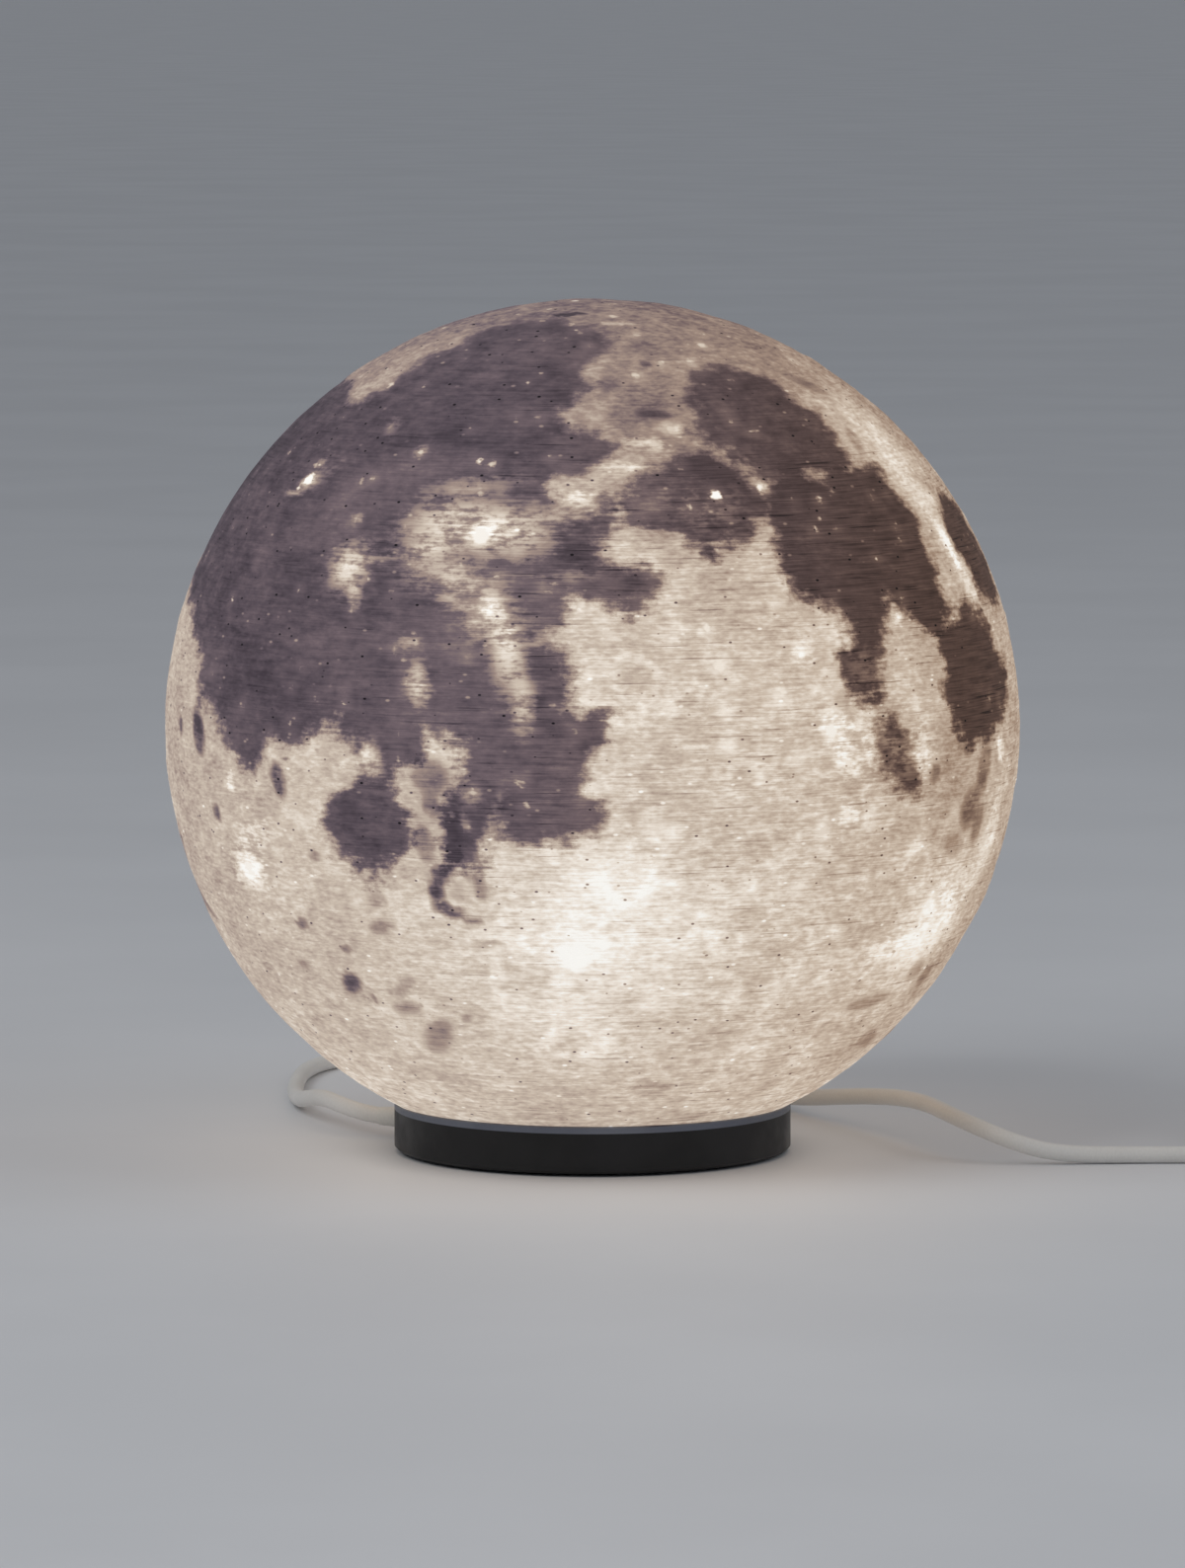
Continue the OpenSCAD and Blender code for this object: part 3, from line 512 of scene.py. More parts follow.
# Ragged light (+) and dark (-) patches, such as rays and lava pools, in the same figures.
PATCHES = [
    (11.5, -24, 4.2, 7.6, 0.36), (9.5, -16, 3.6, 5.4, 0.28), (12.5, -9, 3, 4, 0.2),
    (5.5, -27, 2.2, 4.6, 0.14), (17, -22, 1.6, 7, 0.14), (2, -22, 2.8, 5, 0.16),
    (8.5, -38, 3.4, 3.4, 0.36), (4.3, -37.2, 2, 1.1, 0.24), (8.8, -30, 0.8, 5.5, 0.14),
    (-1.5, -19, 3, 3.6, 0.24), (-6, -17.6, 4.5, 2.3, 0.32), (-12, -16, 3.6, 1.7, 0.3, -8),
    (-4, -13.2, 1.2, 2.5, 0.2, 10), (-8, -29, 2.8, 1.7, 0.32), (-2.6, -30, 1, 1.8, 0.16),
    (23.4, -47.6, 1, 2, 0.36, -12), (22.3, -50, 0.6, 2.6, 0.22, -12), (26, -46.5, 1, 1, 0.16),
    (25, -45, 3.5, 4, 0.05), (29, -35, 2, 1.2, 0.12), (15, -37.5, 0.8, 1.1, 0.22),
    (23.5, -29.5, 1.2, 1.2, 0.16), (-16, -36.6, 2.6, 1.5, 0.32), (21.5, 1, 0.9, 3.6, 0.16, -8),
    (18, -3, 0.8, 4, 0.12, -6), (24, 4.6, 0.7, 1.4, 0.14), (16, 15.2, 0.9, 1.4, 0.16, -20),
    (-27, -22.5, 6, 0.8, 0.2, -28), (-31, 53, 3.2, 3.4, 0.05), (-30, 59, 3.2, 3.4, 0.05),
    (-38, 47, 1.6, 6, 0.06, 30), (-24.2, -64, 3, 3.8, 0.2), (-21, -60, 2, 3.5, 0.1),
    (-9.5, 59, 1.6, 2, 0.22), (14, 47, 1.2, 4, 0.16, -60), (-12.7, -10.5, 0.8, 1.6, 0.18),
    (3.6, -10, 0.8, 5, 0.1), (-22, -24, 1.2, 1.6, 0.2), (-25.5, -25.6, 2, 1, 0.2),
    (-13.5, -62, 1.4, 1, 0.2), (-5.6, 18.4, 1.4, 2, 0.08), (-14, 24, 2.6, 3, 0.12),
    (-17.5, 26.5, 2, 2.6, 0.1), (-23.5, 28, 2, 2.6, 0.1), (1.5, 33.2, 1.4, 0.9, 0.16),
    (26.5, 2.2, 0.9, 2.6, -0.2), (32, -3.4, 2.2, 1.6, -0.09), (36.5, 2.6, 0.8, 0.9, -0.16),
    (51.6, -9, 0.9, 2.4, -0.36), (47.5, -1, 0.7, 3.4, 0.12), (6, 7.8, 1, 1.6, -0.1),
    (13, 7, 4, 6, 0.09), (-5.5, 28, 2.6, 3.4, 0.14), (-14.5, 34, 4.4, 6, 0.24),
    (4.4, -23.6, 2.4, 3.4, 0.16), (0.6, -20.4, 2.2, 3, 0.1), (7.5, -28, 2, 3, 0.1),
    (12, -5, 1.4, 2.2, -0.08), (2.5, -2.5, 1.2, 1.4, -0.08), (-19, -29, 2.4, 2.8, -0.22),
    (-27, -31.5, 2.6, 1.5, -0.26), (-22.5, -29.5, 1.6, 1.2, -0.22), (-25.5, -27, 2.4, 1.1, -0.2, 15),
    (-29, -28, 1.5, 1.4, -0.28), (-31, -30.2, 1.3, 1.4, -0.38), (-33, -31.6, 1.3, 1.2, -0.4),
    (-35, -31.4, 1, 1.3, -0.38), (-36.2, -29.6, 0.8, 1.5, -0.34), (-37.6, -27.2, 0.5, 1.5, -0.28),
    (-31.5, -25.5, 1.2, 1.5, -0.22), (-33.5, -24.8, 1.6, 1.1, -0.24), (-33.5, -28, 1.5, 1.6, -0.12),
    (-33, -41.5, 1.2, 1.6, -0.14), (-5.5, -68, 3, 1.7, -0.46), (-3, -74, 1.4, 1, -0.3),
    (-16.3, -67.3, 1.1, 0.9, -0.3), (-15.5, -52, 2.4, 1.3, -0.36), (-25.8, -49.5, 0.9, 1, -0.2),
    (-33.5, -58, 0.8, 1.2, -0.3), (-38.2, -51.5, 0.8, 1, -0.24), (-42.8, -55, 1.4, 2.2, -0.28, 35),
    (-45.7, -52.2, 1, 0.7, -0.24), (-36.3, -42.7, 1.2, 2.4, -0.2), (-48.3, -46.5, 1.4, 2.6, -0.2),
    (-53.7, -44.5, 2.2, 3.4, -0.2, 40), (-45, -44.2, 1.1, 2.6, -0.17, 25),
    (-40.7, -26, 0.7, 2.6, -0.13), (-38.5, -63.7, 0.9, 1.2, -0.14), (-51, -35.2, 0.8, 1, -0.14),
    (-51.5, -41, 1.2, 2.4, -0.1), (-13.3, 54, 3.8, 2, -0.26), (-18.8, 52.3, 3, 2.6, -0.28),
    (-11, 48.6, 2, 2, -0.2), (-16.5, 42, 1.6, 1.2, -0.22), (-12, 34.5, 1.8, 3, -0.18),
    (-20, 56, 3, 1.6, -0.22), (-24, 51, 2, 3, -0.14), (-46.5, 52, 1.4, 5, -0.17, 25),
    (-39.7, 66, 2, 2, -0.16), (-40, 60, 2, 2.4, -0.16), (-51, 67, 2, 4, -0.16),
    (37, 30, 1.5, 4, -0.15, -18), (27, 33.5, 2.4, 1.4, -0.14), (-10, 24.5, 2, 1.5, -0.14),
    (-9.5, 29.6, 1.4, 1.2, -0.18), (13, 84, 3, 4.4, -0.3), (15.5, 88, 2.4, 2.8, -0.2),
    (9.5, 87, 1.2, 2, -0.14), (-1, 85, 3.2, 3.6, -0.3), (-5, 88, 2, 2.8, -0.24, 10),
    (2.5, 90, 1.6, 2, -0.2), (-38, 87, 2.2, 3, -0.28), (-43, 94, 2.8, 2, -0.28),
    (-47, 84, 1.8, 3, -0.24), (-35, 97, 1.6, 2.4, -0.24), (-50, 97, 2, 2.6, -0.2),
    (-24, 103, 1.2, 1.6, -0.18), (-36, 168, 2.6, 2, -0.28), (-35, -153, 3, 5, -0.2, 15),
    (-41, -160, 3, 3, -0.18), (-15, -88, 1, 4, -0.2, 50), (-24, -88, 1, 4, -0.18, -50),
    (30, -145, 9, 9, 0.06)]
# Young craters with bright rims: latitude, longitude, radius in millimetres, brightness.
BRIGHT_CRATERS = [
    (9.7, -20, 1.5, 0.95), (8.1, -38, 0.7, 0.84), (23.7, -47.4, 1.25, 1), (23.1, -48.9, 0.6, 0.9),
    (26, -47, 0.5, 0.7), (38.5, -38.5, 0.6, 0.8), (23.3, -29, 0.55, 0.8), (20.5, -37.5, 0.4, 0.7),
    (15, -37.5, 0.5, 0.7), (29, -35, 0.5, 0.6), (22, -64, 0.6, 0.7), (20.5, -20.6, 0.5, 0.9),
    (26.7, -13, 0.45, 0.6), (14.5, -11.3, 0.6, 0.7), (33.9, 1.2, 0.6, 0.8), (24, 4.5, 0.7, 0.8),
    (21.6, 2, 0.6, 0.8), (35, -5.3, 0.5, 0.6), (14.4, 9.2, 0.9, 1), (15.9, 15.3, 0.7, 0.95),
    (15.4, 23.7, 0.55, 0.8), (17.2, 26, 0.4, 0.6), (17.7, 33, 0.4, 0.6), (27, 45, 0.6, 0.8),
    (15.8, 46.5, 0.8, 0.95), (11.5, 25.3, 0.35, 0.6), (3.2, 17, 0.6, 0.85), (42.3, 14.2, 0.8, 0.8),
    (37.8, 10.3, 0.5, 0.8), (36.4, 5.2, 0.45, 0.7), (46, 16, 0.6, 0.7), (44, 3, 0.6, 0.7),
    (50.5, 0, 0.8, 0.75), (50, -14, 0.6, 0.6), (-5, -47, 0.4, 0.6), (-3, -45, 0.35, 0.6),
    (-7, -39, 0.4, 0.6), (-7, -43.5, 0.35, 0.55), (-3.3, -31.3, 0.5, 0.7), (-2.8, -28.5, 0.45, 0.7),
    (4, -31.5, 0.4, 0.65), (2.8, -37.2, 0.45, 0.65), (-7.5, -30.3, 0.5, 0.75), (4.5, -49, 0.3, 0.5),
    (7.5, -59, 0.5, 0.5), (1, -63, 0.4, 0.55), (-8.6, -47, 0.35, 0.6), (-12.5, -51.8, 0.5, 0.7),
    (-15.5, -36, 0.6, 0.8), (-17.5, -36, 0.5, 0.75), (-16.3, -32.5, 0.4, 0.7),
    (-23.3, -29.6, 0.5, 0.7), (-26, -29.3, 0.45, 0.7), (-13.5, -62.5, 0.7, 0.8),
    (-24.5, -63.7, 1.3, 0.95), (-24, -55, 0.5, 0.7), (-32.5, -49, 0.5, 0.7), (-3.5, -5.4, 0.5, 0.9),
    (-3, 6.8, 0.6, 0.9), (-8.5, -8.3, 0.4, 0.75), (-9, -16, 0.5, 0.75), (-12, -12, 0.35, 0.65),
    (-15.2, -9.5, 0.4, 0.7), (-22.7, -8.3, 0.5, 0.8), (-23.7, -16.2, 0.45, 0.7), (-5.5, -22, 0.5, 0.6),
    (0.3, -19, 0.6, 0.85), (1.8, -11.8, 0.35, 0.7), (3.8, 0.8, 0.5, 0.85), (-1.8, -14, 0.35, 0.6),
    (-7.5, 8.3, 1, 0.9), (-17, 9.7, 0.7, 0.9), (-21.5, -23, 0.5, 0.75), (-25.5, -24.5, 0.4, 0.7),
    (-5.5, 18.2, 0.5, 0.9), (-10.6, 15.8, 0.6, 0.9), (-14, 23.7, 1.1, 0.95), (-17.5, 26.5, 0.8, 0.9),
    (-11, 29.5, 0.6, 0.85), (-8.5, 36.8, 0.7, 0.85), (-23.5, 28, 0.8, 0.9), (-26, 24.8, 0.7, 0.85),
    (0.3, 15.6, 0.5, 0.8), (-18, 19, 0.7, 0.85), (-43.3, -11.4, 1.5, 1), (-59, -11, 0.9, 0.95),
    (-27.5, 3, 0.7, 0.95), (-31.8, 51.6, 1, 0.95), (-33.5, 59, 1.2, 0.9), (-33, 23.5, 0.7, 0.9),
    (-9.5, 59, 0.9, 0.85), (5, 95, 1.3, 0.95), (22, 119, 1.6, 0.95), (-52, 105, 1.2, 0.9),
    (36, -121, 1.3, 0.9), (8, -129, 1, 0.9), (-21, 150, 1.2, 0.95), (-62, -160, 1.4, 0.9),
    (61, -150, 1.2, 0.9), (12, 172, 0.9, 0.85), (-8, -175, 1, 0.85)]
# Big old craters that show as rings: latitude, longitude and radius in degrees.
RINGS = [
    (-58.6, -14.4, 4.2), (-9.3, -1.9, 2.8), (-13.5, -2.8, 2), (-5.5, 4.8, 2.4), (-11.2, 4, 2.2),
    (-33, -3, 3.2), (-41.6, 14, 1.9), (-30, -0.5, 2.2), (-25, -2, 2.2), (-11.5, 26.4, 1.8),
    (-13.3, 24, 1.8), (-18, 23.4, 1.7), (-29.7, 32.2, 1.6), (-43.3, -11.4, 1.6), (9.7, -20, 1.7),
    (-17.5, -39.9, 2), (51.6, -9.3, 1.7), (-44.4, -54.6, 3.4), (-9, 61, 2.3), (46.7, 44.4, 2.2),
    (31.8, 29.9, 1.7), (29.7, -4, 1.3), (-51, -32, 2.4), (-50, 22, 2.8), (-66, 8, 3.4), (-44, 32, 2.6),
    (-29, 15, 2.4), (-21, 12, 2.2), (-52, 48, 3), (-60, 30, 2.8), (-28, 44, 2.6), (-36, 10, 2)]
SMALL_SPOTS = 420
OLD_CRATERS = 520
# The relief, in millimetres.
SEA_DEPTH = 0.22
CRATER_DEPTH = 0.16
RIM_HEIGHT = 0.13
# What stands for no sea and for no bright spot near a place.
NO_SEA = -9.0
NO_SPOT = 5.0
# How the map is turned on the globe, as an axis whose length is the angle in degrees.
globe_turn = Vector((-21.25, -0.62, 7.66))
TURN = np.array(Matrix.Rotation(math.radians(globe_turn.length), 3, globe_turn.normalized()))
SPREAD = 1.086
FRONT = np.array([0.0, -1.0, 0.0])


def spread_angle(angle):
    """The printed map is drawn slightly larger on the near side, and smaller on the far one."""
    half = math.pi / 2
    far = half * SPREAD + (angle - half) * (math.pi - half * SPREAD) / half
    return np.where(angle < half, angle * SPREAD, far)


def moon_direction(latitude, longitude):
    """The direction from the globe's middle to a place on the Moon."""
    la, lo = np.radians(latitude), np.radians(longitude)
    way = np.stack([np.cos(la) * np.sin(lo), -np.cos(la) * np.cos(lo), np.sin(la)], -1)
    angle = np.arccos(np.clip(way @ FRONT, -1, 1))
    side = way - (way @ FRONT)[..., None] * FRONT
    side /= np.maximum(np.linalg.norm(side, axis=-1), 1e-9)[..., None]
    angle = spread_angle(angle)[..., None]
    return (np.cos(angle) * FRONT + np.sin(angle) * side) @ TURN.T


def flat_map(ways):
    """Directions laid out flat round the near side's middle, in degrees."""
    own = ways @ TURN
    angle = np.degrees(np.arccos(np.clip(own @ FRONT, -1, 1)))
    side = np.stack([own[..., 0], own[..., 2]], -1)
    side /= np.maximum(np.linalg.norm(side, axis=-1), 1e-9)[..., None]
    return side * angle[..., None]


def inside_shore(places, shore):
    """How far, in degrees, each place lies inside (+) or outside (-) a shore line."""
    corners = flat_map(moon_direction(*np.array(shore, float).T))
    least = np.full(len(places), 1e9)
    within = np.zeros(len(places), bool)
    for a, b in zip(corners, np.roll(corners, -1, 0)):
        along = b - a
        t = np.clip(((places - a) @ along) / (along @ along), 0, 1)
        least = np.minimum(least, np.linalg.norm(places - a - t[:, None] * along, axis=1))
        crosses = (a[1] > places[:, 1]) != (b[1] > places[:, 1])
        at = a[0] + (places[:, 1] - a[1]) * along[0] / (along[1] if along[1] else 1e-9)
        within ^= crosses & (places[:, 0] < at)
    return np.where(within, least, -least)


def steps(x, low, high):
    """A smooth step for arrays."""
    t = np.clip((x - low) / (high - low), 0, 1)
    return t * t * (3 - 2 * t)


GLOBE_SIDES = 360
OUTER_RINGS = 200
INNER_RINGS = 36
cut_angle = math.acos((SEAT_Z - GLOBE_Z) / GLOBE_R)
profile = [(GLOBE_R * math.sin(cut_angle * i / OUTER_RINGS),
            GLOBE_Z + GLOBE_R * math.cos(cut_angle * i / OUTER_RINGS))
           for i in range(1, OUTER_RINGS + 1)]
INNER_R = GLOBE_R - GLOBE_WALL
lip_angle = math.acos((LIP_TOP - GLOBE_Z) / INNER_R)
profile += [(SEAT_R - 0.4, SEAT_Z), (NECK_IN_R + 0.3, SEAT_Z), (NECK_IN_R, SEAT_Z + 0.3),
            (NECK_IN_R, NECK_TOP - 0.2), (NECK_IN_R + 0.2, NECK_TOP), (NECK_OUT_R - 0.2, NECK_TOP),
            (NECK_OUT_R, NECK_TOP - 0.2), (NECK_OUT_R, LIP_TOP + 0.3), (NECK_OUT_R + 0.3, LIP_TOP)]
profile += [(INNER_R * math.sin(lip_angle * i / INNER_RINGS),
             GLOBE_Z + INNER_R * math.cos(lip_angle * i / INNER_RINGS))
            for i in range(INNER_RINGS, 0, -1)]
# The sides lie closer together in front, where the finest craters are seen.
turns = np.arange(GLOBE_SIDES) / GLOBE_SIDES * 2 * math.pi
turns = turns - math.pi / 2 - 0.3 * np.sin(turns)
ring_r = np.array([p[0] for p in profile])
ring_z = np.array([p[1] for p in profile])
shell_co = np.stack([ring_r[:, None] * np.cos(turns), ring_r[:, None] * np.sin(turns),
                     np.repeat(ring_z[:, None], GLOBE_SIDES, 1)], -1).reshape(-1, 3)
shell_co = np.vstack([[[0, 0, GLOBE_Z + GLOBE_R]], shell_co, [[0, 0, GLOBE_Z + INNER_R]]])
outer_count = 1 + OUTER_RINGS * GLOBE_SIDES
outward = shell_co[:outer_count] - [0, 0, GLOBE_Z]
outward /= np.linalg.norm(outward, axis=1)[:, None]

# Where the seas are, and how light each place is.
flat = flat_map(outward)
sea = np.full(outer_count, NO_SEA)
for shore in SEAS.values():
    sea = np.maximum(sea, inside_shore(flat, shore))
sea[outward @ (TURN @ FRONT) < -0.2] = NO_SEA
for latitude, longitude, radius in FAR_SEAS:
    away = np.degrees(np.arccos(np.clip(outward @ moon_direction(latitude, longitude), -1, 1)))
    sea = np.maximum(sea, radius - away)


def spread_light(areas, steep):
    """The sum of the areas' light at each place, each an ellipse that fades at its edge."""
    total = np.zeros(outer_count)
    for latitude, longitude, half_h, half_w, strength, *tilt in areas:
        middle = moon_direction(latitude, longitude)
        east = moon_direction(latitude, longitude + 1) - middle
        east /= np.linalg.norm(east)
        north = np.cross(middle, east)
        t = math.radians(sum(tilt))
        u = np.degrees(outward @ (math.cos(t) * east + math.sin(t) * north)) / half_w
        v = np.degrees(outward @ (math.cos(t) * north - math.sin(t) * east)) / half_h
        near = outward @ middle > 0.3
        total += np.where(near, strength * np.exp(-((u * u + v * v) ** steep)), 0)
    return total


glow = spread_light(GLOWS, 1.3)
patch = spread_light([one for one in PATCHES if one[4] > 0], 1.5)
patch += spread_light([one for one in PATCHES if one[4] < 0], 2.4)
spot = np.full(outer_count, NO_SPOT)
spot_light = np.zeros(outer_count)
rng = np.random.default_rng(11)
small = rng.normal(size=(SMALL_SPOTS, 3))
small /= np.linalg.norm(small, axis=1)[:, None]
spots = [(moon_direction(a, b), r, s) for a, b, r, s in BRIGHT_CRATERS]
spots += [(way, 0.2 + 0.35 * rng.random() ** 2, 0.62 + 0.3 * rng.random()) for way in small]
for way, radius, light in spots:
    away = GLOBE_R * np.sqrt(np.maximum(2 - 2 * outward @ way, 0)) - radius
    spot_light = np.where(away < spot, light, spot_light)
    spot = np.minimum(spot, away)

# Craters in relief: a sunk floor and a raised rim. The seas lie a little lower than the uplands.
relief = -SEA_DEPTH * steps(sea, -1.0, 1.2)
rims = np.zeros(outer_count)
upland = 1 - steps(sea, -1.5, 0.5)
old = rng.normal(size=(OLD_CRATERS, 3))
old /= np.linalg.norm(old, axis=1)[:, None]
craters = [(moon_direction(a, b), r, 1.0) for a, b, r in RINGS]
craters += [(way, 0.9 + 2.9 * rng.random() ** 3, 0.4 + 0.5 * rng.random()) for way in old]
for way, radius, depth in craters:
    away = np.degrees(np.sqrt(np.maximum(2 - 2 * outward @ way, 0))) / radius
    close = away < 1.8
    bowl = np.clip(1 - away[close] ** 2, 0, 1)
    rim = RIM_HEIGHT * np.exp(-((away[close] - 1) / 0.2) ** 2)
    share = depth * (0.25 + 0.75 * upland[close])
    relief[close] += (rim - bowl * CRATER_DEPTH) * share * min(1.4, radius / 1.6)
    rims[close] += share * (np.exp(-((away[close] - 1) / 0.22) ** 2) - 0.7 * bowl)
rough = np.array([noise.fractal(Vector(w) * 9, 0.7, 2.2, 5) for w in outward])
relief += rough * (0.05 + 0.10 * upland)
seam = steps(shell_co[:outer_count, 2], SEAT_Z, SEAT_Z + 2.5)
shell_co[:outer_count] += outward * (relief * seam)[:, None]

ids = np.arange(len(profile) * GLOBE_SIDES).reshape(len(profile), GLOBE_SIDES) + 1
onward = np.roll(ids, -1, 1)
shell_faces = np.stack([ids[:-1], ids[1:], onward[1:], onward[:-1]], -1).reshape(-1, 4).tolist()
shell_faces += [(0, int(a), int(b)) for a, b in zip(ids[0], onward[0])]
last = len(shell_co) - 1
shell_faces += [(last, int(b), int(a)) for a, b in zip(ids[-1], onward[-1])]
moon = new_piece("moon_shell", shell_co * MM, shell_faces)
for name, values, inner in (("sea", sea, NO_SEA), ("glow", glow, 0.0), ("patch", patch, 0.0),
                            ("spot", spot, NO_SPOT), ("spot_light", spot_light, 0.0),
                            ("rims", rims, 0.0)):
    full = np.full(len(shell_co), inner)
    full[:outer_count] = values
    moon.data.attributes.new(name, "FLOAT", "POINT").data.foreach_set("value", full.astype(np.float32))

printed, shader, place = new_finish("printed shell", 0.2, roughness=0.7)


def on_globe(name):
    """A value that the globe's mesh carries."""
    carried = shader.id_data.nodes.new("ShaderNodeAttribute")
    carried.attribute_name = name
    return carried.outputs["Fac"]


def along_axes(vector):
    """A vector's three parts."""
    return node("ShaderNodeSeparateXYZ", {0: vector}).outputs


def added(base, value, amount):
    """Adds a noise's swing round its middle to a tone."""
    return maths("MULTIPLY_ADD", maths("SUBTRACT", value, 0.5), amount, base)


x_at, _, z_at = along_axes(place)
ragged = clouds(place, 8, 7.0, stretch=(1.25, 1.25, 1), rough=0.66)
patches = clouds(place, 9, 6.0, stretch=(1.4, 1.4, 0.9), rough=0.6, shift=3)
mottle = clouds(place, 2.4, 4.0, stretch=(1.5, 1.5, 0.8), rough=0.6, shift=7)
flecks = clouds(place, 0.8, 2.0, stretch=(1.9, 1.9, 0.7), rough=0.5, shift=2)
streaky = clouds(place, 1.0, 3.0, stretch=(9, 9, 0.6), rough=0.55, shift=1)
# The shore is ragged, in bays of a few millimetres that break up along the layers.
shore = added(added(added(on_globe("sea"), ragged, 10.0), mottle, 5.0), streaky, 3.0)
in_sea = between(shore, -1.5, 1.5)
# Tones: 0 is black and 1 is the plastic at its brightest.
SEA_TONE = 0.318
UPLAND_TONE = 0.724
DARKEST_TONE = 0.262
# The share of a tone's colour that the plastic has without the light inside, and that light.
UNLIT = 0.42
GLOBE_GLOW = 0.76
sea_tone = added(added(added(SEA_TONE, patches, 0.30), mottle, 0.20), flecks, 0.12)
sea_tone = maths("ADD", sea_tone, between(x_at, 10, 62, 0.0, -0.10))
pits = node("ShaderNodeTexNoise", {
    "Vector": node("ShaderNodeMapping", {
        "Vector": place, "Scale": (0.30, 0.30, 0.52)}).outputs[0],
    "Scale": 1.0, "Detail": 3.0, "Roughness": 0.6}, noise_type="RIDGED_MULTIFRACTAL").outputs[0]
upland_tone = added(added(added(UPLAND_TONE, patches, 0.30), mottle, 0.26), flecks, 0.32)
upland_tone = maths("ADD", upland_tone, between(pits, 0.5, 1.5, 0.05, -0.12))
upland_tone = maths("MULTIPLY_ADD", on_globe("rims"), 0.05, upland_tone)
# Painted shade: the tone grows darker towards the globe's top, where the light inside falls off, and
# towards its left and right edges.
painted_top_shade = between(z_at, 100, 146, 0.0, -0.20)
painted_crown_shade = between(z_at, 138, 148, 0.0, -0.10)
painted_limb_shade = between(maths("ABSOLUTE", x_at), 35, 74, 0.0, -0.09)
upland_tone = maths("ADD", upland_tone, maths("ADD", painted_top_shade, painted_limb_shade))
upland_tone = maths("ADD", upland_tone, painted_crown_shade)
tone = node("ShaderNodeMix", {0: in_sea, 2: upland_tone, 3: sea_tone}).outputs[0]
tone = maths("ADD", on_globe("glow"), tone)
breaks = added(added(maths("ADD", ragged, mottle), streaky, 0.8), flecks, 0.6)
depth = maths("ABSOLUTE", on_globe("patch"))
depth = maths("MULTIPLY_ADD", maths("SUBTRACT", breaks, 0.97), 0.38, depth)
broken = maths("MULTIPLY", between(depth, 0.02, 0.12, 0.1, 1.0),
               between(breaks, 0.76, 1.16, 0.55, 1.35))
tone = maths("MULTIPLY_ADD", on_globe("patch"), broken, tone)
darkest = added(DARKEST_TONE, mottle, 0.12)
tone = maths("SMOOTH_MAX", tone, darkest, 0.06)
# The layers show as fine level streaks, boldest on the front, and some layers as dark lines.
front = maths("MULTIPLY", between(x_at, -60, 5), between(z_at, 148, 110))
tone = added(tone, streaky, 0.12)
fine_layers = clouds(place, 0.5, 1.0, stretch=(16, 16, 0.5), shift=11)
fine_layers = maths("MULTIPLY", maths("SUBTRACT", fine_layers, 0.5), 0.20)
dark_layers = clouds(place, 0.5, 1.0, stretch=(26, 26, 0.7), shift=17)
dark_layers = between(dark_layers, 0.66, 0.76, 0.0, -0.17)
layers = maths("MULTIPLY", maths("ADD", fine_layers, dark_layers),
               maths("MULTIPLY_ADD", front, 0.75, 0.25))
tone = maths("ADD", tone, layers)
# Bright young craters, and specks where the print is flawed.
edge = added(added(on_globe("spot"), mottle, 1.2), flecks, 1.6)
lit = between(edge, 0.35, -0.3)
halo = between(edge, 2.2, 0.0, 0.0, 0.08)
tone = maths("ADD", tone, maths("MULTIPLY", halo, on_globe("spot_light")))
tone = node("ShaderNodeMix", {0: lit, 2: tone, 3: on_globe("spot_light")}).outputs[0]


def specks(shift, scale, low, high, amount):
    """Small level specks of uneven strength, scattered through the print."""
    spread = node("ShaderNodeMapping", {
        "Vector": place, "Location": (shift, shift, shift), "Scale": scale})
    cells = node("ShaderNodeTexVoronoi", {"Vector": spread.outputs[0], "Scale": 1.0})
    chance = node("ShaderNodeSeparateColor", {0: cells.outputs["Color"]}).outputs[0]
    return maths("MULTIPLY", between(cells.outputs["Distance"], high, low, 0.0, amount),
                 between(chance, 0.15, 0.8))


dark_fleck = specks(0, (0.34, 0.34, 0.55), low=0.06, high=0.13, amount=-0.42)
glint = specks(5, (0.24, 0.24, 0.46), low=0.05, high=0.15, amount=0.20)
tone = maths("ADD", tone, maths("ADD", dark_fleck, glint))
cool = node("ShaderNodeValToRGB", {0: tone})
warm = node("ShaderNodeValToRGB", {0: tone})
COOL_TONES = [
    (0.0, 16, 13, 18), (0.22, 58, 50, 58), (0.31, 86, 75, 83),
    (0.42, 113, 98, 104), (0.58, 162, 142, 132), (0.76, 207, 192, 176),
    (0.90, 240, 230, 218), (1.0, 253, 251, 246)]
WARM_TONES = [
    (0.0, 14, 10, 9), (0.20, 61, 45, 38), (0.30, 88, 67, 58),
    (0.42, 120, 95, 80), (0.58, 163, 137, 116), (0.76, 206, 187, 167),
    (0.90, 240, 228, 213), (1.0, 253, 250, 243)]
for ramp, tones in ((cool, COOL_TONES), (warm, WARM_TONES)):
    elements = ramp.color_ramp.elements
    while len(elements) < len(tones):
        elements.new(0.5)
    for element, (at, *colour) in zip(elements, tones):
        element.position = at
        element.color = chip(*colour)
light_colour = mixed(between(x_at, -25, 72), cool.outputs[0], warm.outputs[0])
bumps = maths("ADD", maths("MULTIPLY", mottle, 0.6), maths("MULTIPLY", streaky, 0.4))
feed(shader, {
    "Base Color": mixed(1.0, light_colour, (UNLIT, UNLIT, UNLIT, 1), "MULTIPLY"),
    "Emission Color": light_colour, "Emission Strength": GLOBE_GLOW,
    "Normal": raised(bumps, 0.25)})
moon.data.materials.append(printed)
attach(moon, "globe")
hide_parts("moon_globe")


# ---------------- collar, turret and grommet
# White moulded plastic parts: the collar is glued in the globe's neck, the turret is screwed to
# the deck, and the grommet is moulded on the lead and held in the base's wall.
dress(grained("white plastic", chip(226, 225, 220), chip(235, 234, 230), patch=15, grain=0.4,
              bump=0.02, rough=(0.4, 0.55), specular=0.45),
      "globe_collar", "led_turret", "lead_grommet")


